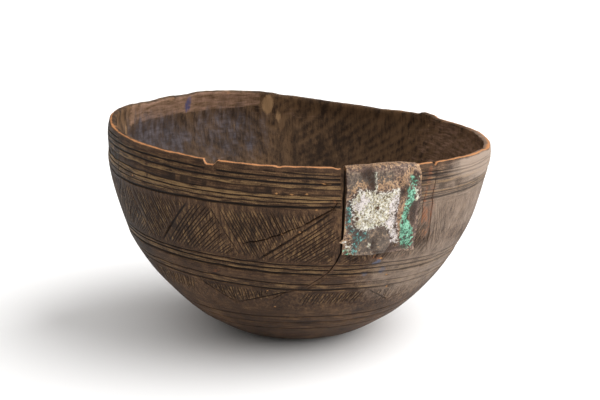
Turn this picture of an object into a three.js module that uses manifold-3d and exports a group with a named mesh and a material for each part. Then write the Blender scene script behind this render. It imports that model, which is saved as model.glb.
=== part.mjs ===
// A carved wooden bowl, split at the rim and mended with a tin patch that is folded over the edge
// and held by six small iron tacks. Millimetres, +Z up. The origin is the middle of the flat foot,
// on the surface that the bowl stands on. Angles go round the bowl from its front, -Y, towards +X.
import * as THREE from "three";
import { mergeVertices } from "three/addons/utils/BufferGeometryUtils.js";
import Module from "manifold-3d";

// The wall: points on the outer and inner faces, each as [radius, height].
const OUTER_FACE = [
  [48, 0],
  [72, 7.5],
  [94, 21],
  [113, 35.5],
  [138, 63],
  [153, 85],
  [166, 112],
  [176, 146],
  [180, 170],
  [179, 184],
  [176, 197],
  [171, 211],
];
const INNER_FACE = [
  [40, 15],
  [62, 18.5],
  [85, 29],
  [105, 43],
  [129, 68],
  [144, 90],
  [157.5, 116],
  [168, 148],
  [172.3, 172],
  [171.5, 185],
  [168.8, 198],
  [164, 211],
];
const FLOOR_THICKNESS = 14;

// The rim: its mean height, how much lower its +X side is, its twist, and the places where it is
// chipped or raised.
const RIM_HEIGHT = 196;
const RIM_DROP = 12;
const RIM_TWIST = 3;
const RIM_FLAWS = [
  { angle: -24.5, width: 3, rise: -3 },
  { angle: 40, width: 3, rise: -2 },
  { angle: 128, width: 7, rise: 3 },
  { angle: -112, width: 9, rise: 2.5 },
];
const RIM_ROUNDING = 2.6;
const RIM_STEPS = 4;

// The mesh: how many columns go round, and where its rows lie as fractions of the rim's height.
const COLUMNS = 96;
const COLUMN_STEP = 360 / COLUMNS;
const FIRST_COLUMN = COLUMN_STEP / 2;
const OUTER_ROWS = [0, 0.04, 0.1, 0.17, 0.25, 0.34, 0.43, 0.52, 0.6, 0.68, 0.76, 0.84, 0.92];
const INNER_ROWS = [0.92, 0.84, 0.74, 0.64, 0.54, 0.44, 0.34, 0.26, 0.19, 0.13, 0.095];
const CURVE_SAMPLES = 40;

// The split: where it runs down the wall, with its width there.
const SPLIT = [
  { angle: 11.9, height: 205, width: 4.2 },
  { angle: 11.8, height: 168, width: 2.6 },
  { angle: 12.1, height: 120, width: 1.8 },
  { angle: 8.9, height: 101, width: 1.5 },
  { angle: 2.1, height: 86, width: 1 },
];
const SPLIT_INNER_RADIUS = 110;
const SPLIT_OUTER_RADIUS = 200;
const WALL_RADIUS = 178;

// The patch, and the clearance between pieces that touch.
const CLEARANCE = 0.4;
const TIN_THICKNESS = 0.7;
const PATCH_FROM = 12.6;
const PATCH_TO = 35.5;
const PATCH_LOWEST_ROW = 0.6;
const PATCH_INNER_ROW = 0.84;

// The tacks: where each goes through the patch, and the size of one.
const TACK_PLACES = [
  { angle: 13.9, height: 129 },
  { angle: 15.6, height: 152 },
  { angle: 21.2, height: 160 },
  { angle: 29.1, height: 173 },
  { angle: 31.2, height: 147 },
  { angle: 28.7, height: 123 },
];
const TACK_LENGTH = 6.6;
const TACK_SHANK_RADIUS = 0.7;
const TACK_HEAD_RADIUS = 2.1;
const TACK_HEAD_HEIGHT = 1;
const TACK_SIDES = 12;
const HOLE_REACH = 2;

const wasm = await Module();
wasm.setup();

const rad = THREE.MathUtils.degToRad;

/** A lookup of radius against height along a smooth curve through the given points. */
function faceRadius(points) {
  const curve = new THREE.SplineCurve(points.map(([r, z]) => new THREE.Vector2(r, z)));
  const samples = curve.getPoints(CURVE_SAMPLES * points.length);
  return (height) => {
    const above = samples.findIndex((p) => p.y >= height);
    if (above <= 0) return samples[above < 0 ? samples.length - 1 : 0].x;
    const [low, high] = [samples[above - 1], samples[above]];
    return THREE.MathUtils.mapLinear(height, low.y, high.y, low.x, high.x);
  };
}

const outerRadius = faceRadius(OUTER_FACE);
const innerRadius = faceRadius(INNER_FACE);

/** The height of the rim at an angle in degrees. */
function rimHeight(angle) {
  let height = RIM_HEIGHT - RIM_DROP * Math.sin(rad(angle)) + RIM_TWIST * Math.sin(rad(2 * angle));
  for (const flaw of RIM_FLAWS) {
    const away = THREE.MathUtils.euclideanModulo(angle - flaw.angle + 180, 360) - 180;
    height += flaw.rise * Math.exp(-((away / flaw.width) ** 2));
  }
  return height;
}

/** The wall's outline at an angle, from the foot up the outside and over the rim to a row inside. */
function wallOutline(angle, lowestRow, innerRow) {
  const top = rimHeight(angle);
  const edge = top - RIM_ROUNDING;
  const outline = [];
  for (const row of OUTER_ROWS.filter((fraction) => fraction >= lowestRow)) {
    outline.push(new THREE.Vector2(outerRadius(top * row), top * row));
  }
  const [outside, inside] = [outerRadius(edge), innerRadius(edge)];
  const rounding = (outside - inside) / 2;
  for (let step = 0; step <= RIM_STEPS; step += 1) {
    const swing = (step * Math.PI) / RIM_STEPS;
    const across = inside + rounding + rounding * Math.cos(swing);
    outline.push(new THREE.Vector2(across, edge + RIM_ROUNDING * Math.sin(swing)));
  }
  for (const row of INNER_ROWS.filter((fraction) => fraction >= innerRow)) {
    outline.push(new THREE.Vector2(innerRadius(top * row), top * row));
  }
  return outline;
}

/** The outline moved away from the wood by a distance. */
function movedOut(outline, distance) {
  return outline.map((point, i) => {
    const before = outline[Math.max(i - 1, 0)];
    const after = outline[Math.min(i + 1, outline.length - 1)];
    const along = after.clone().sub(before).normalize();
    return new THREE.Vector2(point.x + along.y * distance, point.y - along.x * distance);
  });
}

/** A point of an outline, turned to its angle round the bowl. */
function placed({ x: radius, y: height }, angle) {
  return [radius * Math.sin(rad(angle)), -radius * Math.cos(rad(angle)), height];
}

/** A solid from points and triangles. */
function solidOf(points, triangles) {
  const geometry = new THREE.BufferGeometry();
  geometry.setAttribute("position", new THREE.Float32BufferAttribute(points.flat(), 3));
  geometry.setIndex(triangles.flat());
  return solidFromGeometry(geometry);
}

/** A solid from a closed geometry. */
function solidFromGeometry(geometry) {
  const bare = geometry.clone();
  bare.deleteAttribute("normal");
  bare.deleteAttribute("uv");
  const merged = mergeVertices(bare, 1e-4);
  return new wasm.Manifold(
    new wasm.Mesh({
      numProp: 3,
      vertProperties: new Float32Array(merged.attributes.position.array),
      triVerts: new Uint32Array(merged.index.array),
    }),
  );
}

/** The mesh of a solid, under its name and with its material. */
function meshOf(name, solid, material) {
  const { numProp, vertProperties, triVerts } = solid.getMesh();
  const points = [];
  for (let i = 0; i < vertProperties.length; i += numProp) {
    points.push(vertProperties[i], vertProperties[i + 1], vertProperties[i + 2]);
  }
  const geometry = new THREE.BufferGeometry();
  geometry.setAttribute("position", new THREE.Float32BufferAttribute(points, 3));
  geometry.setIndex([...triVerts]);
  geometry.computeVertexNormals();
  const mesh = new THREE.Mesh(geometry, material);
  mesh.name = name;
  return mesh;
}

/** The uncracked bowl: the wall's outline at every column, closed at the foot and the floor. */
function bowlSolid() {
  const points = [
    [0, 0, 0],
    [0, 0, FLOOR_THICKNESS],
  ];
  const triangles = [];
  const rows = wallOutline(0, 0, 0).length;
  const index = (column, row) => 2 + (column % COLUMNS) * rows + row;
  for (let column = 0; column < COLUMNS; column += 1) {
    const angle = FIRST_COLUMN + column * COLUMN_STEP;
    points.push(...wallOutline(angle, 0, 0).map((point) => placed(point, angle)));
    triangles.push([0, index(column + 1, 0), index(column, 0)]);
    triangles.push([1, index(column, rows - 1), index(column + 1, rows - 1)]);
    for (let row = 0; row < rows - 1; row += 1) {
      const [a, b] = [index(column, row), index(column + 1, row)];
      triangles.push([a, b, b + 1], [a, b + 1, a + 1]);
    }
  }
  return solidOf(points, triangles);
}

/** The gap that the split opens through the wall: a thin ribbon that reaches past both faces. */
function splitSolid() {
  const points = [];
  const triangles = [];
  for (const { angle, height, width } of SPLIT) {
    for (const radius of [SPLIT_INNER_RADIUS, SPLIT_OUTER_RADIUS]) {
      for (const side of [-1, 1]) {
        const turned = angle + THREE.MathUtils.radToDeg((side * width) / 2 / WALL_RADIUS);
        points.push(placed({ x: radius, y: height }, turned));
      }
    }
  }
  for (let i = 0; i < SPLIT.length - 1; i += 1) {
    const at = 4 * i;
    for (const [a, b] of [[0, 1], [1, 3], [3, 2], [2, 0]]) {
      triangles.push([at + a, at + 4 + a, at + 4 + b], [at + a, at + 4 + b, at + b]);
    }
  }
  const last = 4 * (SPLIT.length - 1);
  triangles.push([0, 1, 3], [0, 3, 2], [last, last + 3, last + 1], [last, last + 2, last + 3]);
  return solidOf(points, triangles);
}

/** The folded patch, a sheet that follows the wall over the rim. */
function patchSolid() {
  const angles = [PATCH_FROM];
  for (let angle = FIRST_COLUMN; angle < PATCH_TO; angle += COLUMN_STEP) {
    if (angle > PATCH_FROM) angles.push(angle);
  }
  angles.push(PATCH_TO);
  const points = [];
  const triangles = [];
  const rows = wallOutline(0, PATCH_LOWEST_ROW, PATCH_INNER_ROW).length;
  for (const angle of angles) {
    const outline = wallOutline(angle, PATCH_LOWEST_ROW, PATCH_INNER_ROW);
    for (const distance of [CLEARANCE, CLEARANCE + TIN_THICKNESS]) {
      points.push(...movedOut(outline, distance).map((point) => placed(point, angle)));
    }
  }
  // Two triangles of a face, seen from outside with its corners anticlockwise.
  const face = (a, b, c, d) => triangles.push([a, b, c], [a, c, d]);
  const under = (column, row) => column * 2 * rows + row;
  const over = (column, row) => under(column, row) + rows;
  const lastColumn = angles.length - 1;
  const lastRow = rows - 1;
  for (let c = 0; c < lastColumn; c += 1) {
    for (let r = 0; r < lastRow; r += 1) {
      face(over(c, r), over(c + 1, r), over(c + 1, r + 1), over(c, r + 1));
      face(under(c, r), under(c, r + 1), under(c + 1, r + 1), under(c + 1, r));
    }
    face(under(c, 0), under(c + 1, 0), over(c + 1, 0), over(c, 0));
    face(over(c, lastRow), over(c + 1, lastRow), under(c + 1, lastRow), under(c, lastRow));
  }
  for (let r = 0; r < lastRow; r += 1) {
    face(under(0, r), over(0, r), over(0, r + 1), under(0, r + 1));
    face(
      over(lastColumn, r),
      under(lastColumn, r),
      under(lastColumn, r + 1),
      over(lastColumn, r + 1),
    );
  }
  return solidOf(points, triangles);
}

/** A closed shape turned about +Z; its outline runs from its low end up. */
function turnedShape(outline) {
  const shape = new THREE.LatheGeometry(
    outline.map(([r, z]) => new THREE.Vector2(r, z)),
    TACK_SIDES,
  );
  return shape.rotateX(Math.PI / 2);
}

/** The place of a tack: its origin on the patch's outer face and its axis square to the wall. */
function tackPlacement({ angle, height }) {
  const [above, below] = [height + TACK_HEAD_RADIUS, height - TACK_HEAD_RADIUS];
  const slope = (outerRadius(above) - outerRadius(below)) / (above - below);
  const outward = new THREE.Vector3(Math.sin(rad(angle)), -Math.cos(rad(angle)), -slope).normalize();
  const seat = new THREE.Vector3(...placed({ x: outerRadius(height), y: height }, angle));
  seat.addScaledVector(outward, 2 * CLEARANCE + TIN_THICKNESS);
  const turn = new THREE.Quaternion().setFromUnitVectors(new THREE.Vector3(0, 0, 1), outward);
  return new THREE.Matrix4().compose(seat, turn, new THREE.Vector3(1, 1, 1));
}

/** A tack with its domed head above its seat and its pointed shank below. */
function tackSolid(place) {
  const geometry = turnedShape([
    [0, -TACK_LENGTH],
    [TACK_SHANK_RADIUS, -TACK_LENGTH + 3 * TACK_SHANK_RADIUS],
    [TACK_SHANK_RADIUS, 0],
    [TACK_HEAD_RADIUS, 0],
    [TACK_HEAD_RADIUS, 0.3 * TACK_HEAD_HEIGHT],
    [0.7 * TACK_HEAD_RADIUS, 0.8 * TACK_HEAD_HEIGHT],
    [0, TACK_HEAD_HEIGHT],
  ]);
  return solidFromGeometry(geometry.applyMatrix4(tackPlacement(place)));
}

/** The hole that a tack's shank needs, clear of it all round and past its tip. */
function tackHole(place) {
  const radius = TACK_SHANK_RADIUS + CLEARANCE;
  const geometry = turnedShape([
    [0, -TACK_LENGTH - CLEARANCE],
    [radius, -TACK_LENGTH - CLEARANCE],
    [radius, HOLE_REACH],
    [0, HOLE_REACH],
  ]);
  return solidFromGeometry(geometry.applyMatrix4(tackPlacement(place)));
}

const wood = new THREE.MeshStandardMaterial({ color: 0x4a382c, roughness: 0.75, metalness: 0 });
const tin = new THREE.MeshStandardMaterial({ color: 0x9a9484, roughness: 0.6, metalness: 0.4 });
const iron = new THREE.MeshStandardMaterial({ color: 0x4c3a30, roughness: 0.7, metalness: 0.6 });

let body = bowlSolid().subtract(splitSolid());
let patch = patchSolid();
for (const place of TACK_PLACES) {
  body = body.subtract(tackHole(place));
  patch = patch.subtract(tackHole(place));
}

const bowl = new THREE.Group();
bowl.add(meshOf("bowl_body", body, wood));
bowl.add(meshOf("tin_patch", patch, tin));
TACK_PLACES.forEach((place, i) => {
  bowl.add(meshOf(`tack_${i + 1}`, tackSolid(place), iron));
});

export default bowl;
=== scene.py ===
"""An old carved wooden bowl with a split rim, mended with a folded tin patch and iron tacks.

The wall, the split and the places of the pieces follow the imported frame. Lengths inside the
carving are in millimetres, and every finished mesh is in metres. An angle goes round the bowl
from its front, -Y, towards +X, in degrees. A climb is the length of wall above the foot's edge.
"""

import logging
import math
import random
from bisect import bisect_left
from collections.abc import Sequence
from dataclasses import dataclass, field
from enum import Enum
from typing import ClassVar

import bpy
from mathutils import Matrix, Vector, noise
from mathutils.geometry import delaunay_2d_cdt


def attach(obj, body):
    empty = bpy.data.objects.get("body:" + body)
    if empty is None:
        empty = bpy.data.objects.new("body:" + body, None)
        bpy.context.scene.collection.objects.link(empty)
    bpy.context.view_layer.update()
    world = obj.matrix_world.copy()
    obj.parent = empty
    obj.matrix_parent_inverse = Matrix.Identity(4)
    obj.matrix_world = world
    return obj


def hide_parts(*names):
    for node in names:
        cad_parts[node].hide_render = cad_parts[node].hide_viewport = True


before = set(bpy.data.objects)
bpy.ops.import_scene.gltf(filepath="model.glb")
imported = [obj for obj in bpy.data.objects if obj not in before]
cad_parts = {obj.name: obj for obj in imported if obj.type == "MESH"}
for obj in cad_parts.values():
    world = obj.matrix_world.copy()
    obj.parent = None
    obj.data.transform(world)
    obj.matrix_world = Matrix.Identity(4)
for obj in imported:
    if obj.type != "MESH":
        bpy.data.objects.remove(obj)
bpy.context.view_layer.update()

LOG = logging.getLogger("bowl")
MM = 0.001
SEED = 7
# The wall's radius where the split and the patch lie, its radius for the stains, and the length
# of wall that the main belt takes up, all in millimetres.
SPLIT_RADIUS = 176
STAIN_RADIUS = 170
BELT_REACH = 48
UNMARKED = (0.0, 0.0, 0.0, 0.0)

Colour = tuple[float, float, float]
Plane = tuple[float, float]
Belt = tuple[Plane, Plane]
Marks = dict[str, list[float]]
Ovals = tuple[tuple[float, ...], ...]


def smooth_step(low: float, high: float, value: float) -> float:
    """A soft step from 0 at low to 1 at high, which may be the smaller of the two."""
    share = min(1.0, max(0.0, (value - low) / (high - low)))
    return share * share * (3 - 2 * share)


def hump(value: float, middle: float, reach: float) -> float:
    """A soft hump of height 1 at its middle that dies out a little past its reach."""
    return math.exp(-(((value - middle) / reach) ** 2))


def wrapped(angle: float) -> float:
    """An angle as -180 up to 180 degrees."""
    return (angle + 180) % 360 - 180


def along_line(place: Plane, start: Plane, end: Plane) -> Plane:
    """The share of a line that is nearest to a place, and how far the place is from there."""
    run, rise = end[0] - start[0], end[1] - start[1]
    ahead = (place[0] - start[0]) * run + (place[1] - start[1]) * rise
    share = min(1.0, max(0.0, ahead / (run * run + rise * rise)))
    return share, math.hypot(place[0] - start[0] - share * run, place[1] - start[1] - share * rise)


def turned(angle: float) -> Plane:
    """The sideways and forward shares of an angle round the bowl."""
    return math.sin(math.radians(angle)), -math.cos(math.radians(angle))


def colour(red: int, green: int, blue: int) -> Colour:
    """A linear colour from the 0 to 255 values that a paint chart gives."""
    return tuple(
        share / 12.92 if share <= 0.04045 else ((share + 0.055) / 1.055) ** 2.4
        for share in (red / 255, green / 255, blue / 255)
    )


# --------------------------------------------------------------------------- the wall


class Face:
    """One face of the wall, a smooth outline from the middle of the bowl to above the rim.

    Its flat map keeps every small shape true, so that cuts drawn on it keep their look on
    the round wall: a place is a spread away from the map's middle, at its own angle.
    """

    STEPS_PER_SPAN = 40
    FLOOR_STEPS = 20

    def __init__(self, middle_height: float, outline: Sequence[Plane]) -> None:
        """Walks the outline and notes its length and its flat map.

        Args:
            middle_height: the height of the face on the bowl's axis.
            outline: its radius and height at a few places, from the foot's edge up.
        """
        flat, floor = outline[0][0], self.FLOOR_STEPS
        rounds = [(flat * step / floor, middle_height) for step in range(floor)]
        rounds += self._curve(outline)
        self.places = rounds
        self.climbs = [-flat]
        self.spreads = [0.0]
        for (r0, z0), (r1, z1) in zip(rounds, rounds[1:]):
            step = math.hypot(r1 - r0, z1 - z0)
            self.climbs.append(self.climbs[-1] + step)
            if r1 <= flat:
                self.spreads.append(r1)
            else:
                self.spreads.append(self.spreads[-1] * math.exp(step * 2 / (r0 + r1)))
        self.heights = [z for _, z in rounds]

    @classmethod
    def _curve(cls, outline: Sequence[Plane]) -> list[Plane]:
        """The smooth curve through the outline's places, as short steps."""
        places = [outline[0], *outline, outline[-1]]
        curve = []
        for p0, p1, p2, p3 in zip(places, places[1:], places[2:], places[3:]):
            for step in range(cls.STEPS_PER_SPAN):
                t = step / cls.STEPS_PER_SPAN
                curve.append(tuple(cls._blend(t, *ends) for ends in zip(p0, p1, p2, p3)))
        curve.append(outline[-1])
        return curve

    @staticmethod
    def _blend(t: float, a: float, b: float, c: float, d: float) -> float:
        """A value between b and c, on the smooth curve through all four."""
        bend = 2 * a - 5 * b + 4 * c - d + t * (3 * (b - c) + d - a)
        return b + t * ((c - a) + t * bend) / 2

    @staticmethod
    def _find(table: Sequence[float], value: float) -> tuple[int, float]:
        """The step of a rising table that holds a value, and the share of the step before it."""
        after = min(max(bisect_left(table, value), 1), len(table) - 1)
        low, high = table[after - 1], table[after]
        share = 0.0 if high <= low else (value - low) / (high - low)
        return after, min(max(share, 0.0), 1.0)

    @staticmethod
    def _read(table: Sequence[float], after: int, share: float) -> float:
        """A table's value at a share of the step before a number."""
        return table[after - 1] + share * (table[after] - table[after - 1])

    def place(self, climb: float) -> tuple[float, float, float, float]:
        """The radius, the height and the face's square direction at a climb.

        Args:
            climb: the length of wall above the foot's edge.

        Returns:
            The radius and height, then the share of the outward square that points away from
            the axis and the share that points up.
        """
        after, share = self._find(self.climbs, climb)
        (r0, z0), (r1, z1) = self.places[after - 1], self.places[after]
        before = self.places[max(after - 3, 0)]
        beyond = self.places[min(after + 2, len(self.places) - 1)]
        run, rise = beyond[0] - before[0], beyond[1] - before[1]
        length = math.hypot(run, rise)
        radius, height = r0 + share * (r1 - r0), z0 + share * (z1 - z0)
        return radius, height, rise / length, -run / length

    def climb_at(self, height: float) -> float:
        """The climb at a height up the wall."""
        after, share = self._find(self.heights[self.FLOOR_STEPS :], height)
        return self._read(self.climbs, after + self.FLOOR_STEPS, share)

    def spread_at(self, climb: float) -> float:
        """The distance from the flat map's middle at a climb."""
        return self._read(self.spreads, *self._find(self.climbs, climb))

    def climb_from(self, spread: float) -> float:
        """The climb at a distance from the flat map's middle."""
        return self._read(self.climbs, *self._find(self.spreads, spread))

    def on_map(self, angle: float, climb: float) -> Plane:
        """A place on the flat map."""
        across, along = turned(angle)
        spread = self.spread_at(climb)
        return spread * across, spread * along

    def from_map(self, across: float, along: float) -> Plane:
        """The angle and the climb of a place on the flat map."""
        return math.degrees(math.atan2(across, -along)), self.climb_from(math.hypot(across, along))


@dataclass(frozen=True)
class Flaw:
    """A chipped or raised stretch of the rim: where it is, half its width, and its rise."""

    angle: float
    width: float
    rise: float
    squareness: float = 2


@dataclass
class Wall:
    """The wall of the bowl: its two faces, its hand-cut rim and its gentle lumps."""

    rim_height: float = 196
    rim_drop: float = 12
    rim_twist: float = 3
    rounding: float = 2.6
    flaws: tuple[Flaw, ...] = (
        Flaw(-24.4, 1.75, -4.0, 8),
        Flaw(-5.1, 0.8, -1.1),
        Flaw(10.6, 1.1, -1.2),
        Flaw(40.8, 0.7, -2.6, 4),
        Flaw(132, 12, 2.2, 4),
        Flaw(129.4, 3.4, 2.8, 6),
        Flaw(108, 12, 1.7, 4),
        Flaw(-87, 12, 1.6),
        Flaw(-118, 9, -2.2),
        Flaw(-155, 17, 2.9, 8),
        Flaw(-178, 10, 1.2),
        Flaw(166, 14, -1.0),
        Flaw(75, 5, -0.9),
    )
    floor_height: ClassVar[float] = 14
    outer: ClassVar[Face] = Face(
        0,
        (
            (48, 0), (72, 7.5), (94, 21), (113, 35.5), (138, 63), (153, 85), (166, 112), (176, 146),
            (180, 170), (179, 184), (176, 197), (171, 211),
        ),
    )
    inner: ClassVar[Face] = Face(
        floor_height,
        (
            (40, 15), (62, 18.5), (85, 29), (105, 43), (129, 68), (144, 90), (157.5, 116),
            (168, 148), (172.3, 172), (171.5, 185), (168.8, 198), (164, 211),
        ),
    )

    def rim(self, angle: float) -> float:
        """The height of the rim's crest at an angle."""
        sideways = math.sin(math.radians(angle))
        height = self.rim_height - self.rim_drop * sideways
        height += self.rim_twist * math.sin(math.radians(2 * angle))
        for flaw in self.flaws:
            away = wrapped(angle - flaw.angle)
            height += flaw.rise * math.exp(-(abs(away / flaw.width) ** flaw.squareness))
        across, along = turned(angle)
        return height + 0.55 * noise.noise(Vector((across * 9, along * 9, 3)))

    @staticmethod
    def swell(angle: float, height: float) -> float:
        """How far the whole wall bulges from a true round, by its place."""
        across, _ = turned(angle)
        left = 5.8 * smooth_step(178, 208, height) * hump(angle, -88, 32)
        right = 3.2 * smooth_step(150, 184, height) * hump(angle, 92, 36)
        return left + right - 1.6 * across * hump(height, 88, 24)

    def lumps(self, angle: float, climb: float) -> float:
        """How far the hand-cut outer face stands proud of its smooth outline."""
        radius, height, _, _ = self.outer.place(climb)
        across, along = turned(angle)
        spot = Vector((radius * across, radius * along, height))
        rough = 0.85 * noise.noise(spot / 70)
        rough += 0.4 * noise.noise(spot / 24 + Vector((5, 1, 9)))
        return rough * smooth_step(-10, 60, climb)

    def adzed(self, angle: float, climb: float) -> Plane:
        """The shallow gouge marks of the inner face.

        Args:
            angle: a place round the bowl.
            climb: its place up the wall.

        Returns:
            How far the face stands proud of its outline, and how deep in a gouge the place is,
            from 0 to 1.
        """
        radius, height, _, _ = self.inner.place(climb)
        across, along = turned(angle)
        spot = Vector((radius * across, radius * along, height))
        lean = 1 if across > -0.15 else -1
        ahead = math.radians(angle) * radius
        row = (ahead * 0.72 + lean * climb * 0.69) / 11
        run = (ahead * -0.69 * lean + climb * 0.72) / 46
        number = math.floor(row)
        stop = math.floor(run + 0.5 * noise.noise(Vector((number * 3.1, 0, 0))))
        bite = 0.75 + 0.6 * noise.noise(Vector((number * 1.7, stop * 2.3, 4)))
        hollow = 1 - (2 * (row - number) - 1) ** 2
        strength = smooth_step(-20, 30, climb)
        return (0.7 * noise.noise(spot / 60) - bite * hollow) * strength, hollow * bite * strength

    def outer_spot(self, angle: float, climb: float, proud: float = 0) -> Vector:
        """A point in space on the lumpy outer face, in metres.

        Args:
            angle: its place round the bowl.
            climb: its place up the wall.
            proud: how far it stands out from the wood.

        Returns:
            The point.
        """
        return self._spot(self.outer, angle, climb, self.lumps(angle, climb) + proud)

    def inner_spot(self, angle: float, climb: float, proud: float = 0) -> Vector:
        """A point in space on the gouged inner face, in metres, as outer_spot gives one."""
        return self._spot(self.inner, angle, climb, -self.adzed(angle, climb)[0] - proud)

    @staticmethod
    def _spot(face: Face, angle: float, climb: float, proud: float) -> Vector:
        """A point in space, moved square to a face's outline."""
        radius, height, out, up = face.place(climb)
        across, along = turned(angle)
        reach = radius + out * proud + Wall.swell(angle, height)
        return Vector((reach * across, reach * along, height + up * proud)) * MM


# --------------------------------------------------------------------------- the carving


class Section(Enum):
    """The section of a cut: places across it, each with its share of the full depth."""

    VEE = ((-0.5, 0), (0, 1), (0.5, 0))
    ROUND = ((-0.5, 0), (-0.27, 0.78), (0, 1), (0.27, 0.78), (0.5, 0))
    FLAT = ((-0.5, 0), (-0.4, 1), (0.4, 0.85), (0.5, 0))
    RIDGE = ((-0.5, 0), (-0.36, -0.8), (0, -1), (0.36, -0.8), (0.5, 0))


@dataclass(frozen=True)
class Cut:
    """One cut in the outer face.

    Its line holds angles and climbs. A taper is the length over which each end runs out.
    Shade says how dark its floor is, bare how much fresh wood shows in it, and lip how pale
    its edges are rubbed.
    """

    line: tuple[Plane, ...]
    width: float
    depth: float
    section: Section = Section.VEE
    taper: float = 4
    shade: float = 1
    bare: float = 0
    lip: float = 0


@dataclass
class Split:
    """The gap that opens the wall from the rim down, as angles, heights and widths."""

    path: tuple[tuple[float, float, float], ...] = (
        (11.9, 210, 4.2), (11.9, 188, 3.5), (11.8, 168, 2.3), (12.0, 143, 1.9), (12.1, 120, 1.6),
        (10.9, 110, 1.5), (8.9, 101, 1.3), (5.5, 93, 1.1), (2.1, 86, 0.7),
    )
    tip: Plane = (1.5, 85)
    margin: float = 0.9
    crack_margin: float = 0.35
    nearby: float = 20

    def at(self, height: float) -> Plane | None:
        """The split's angle and width at a height, or None below its tip."""
        if height <= self.tip[1]:
            return None
        for (a1, z1, w1), (a0, z0, w0) in zip(self.path, self.path[1:]):
            if height >= z0:
                share = min(1.0, (height - z0) / (z1 - z0))
                return a0 + share * (a1 - a0), w0 + share * (w1 - w0)
        return self.path[-1][0], self.path[-1][2]

    @staticmethod
    def half_angle(width: float) -> float:
        """Half the angle that a width takes up."""
        return math.degrees(width / 2 / SPLIT_RADIUS)

    def touches(self, angle: float, height: float, margin: float | None = None) -> bool:
        """Whether a place is in the gap or right at its edge."""
        margin = self.margin if margin is None else margin
        found = self.at(height + margin)
        if found is None:
            return False
        away = wrapped(angle - found[0])
        return abs(away) < self.half_angle(found[1] + 2 * margin)


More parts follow.
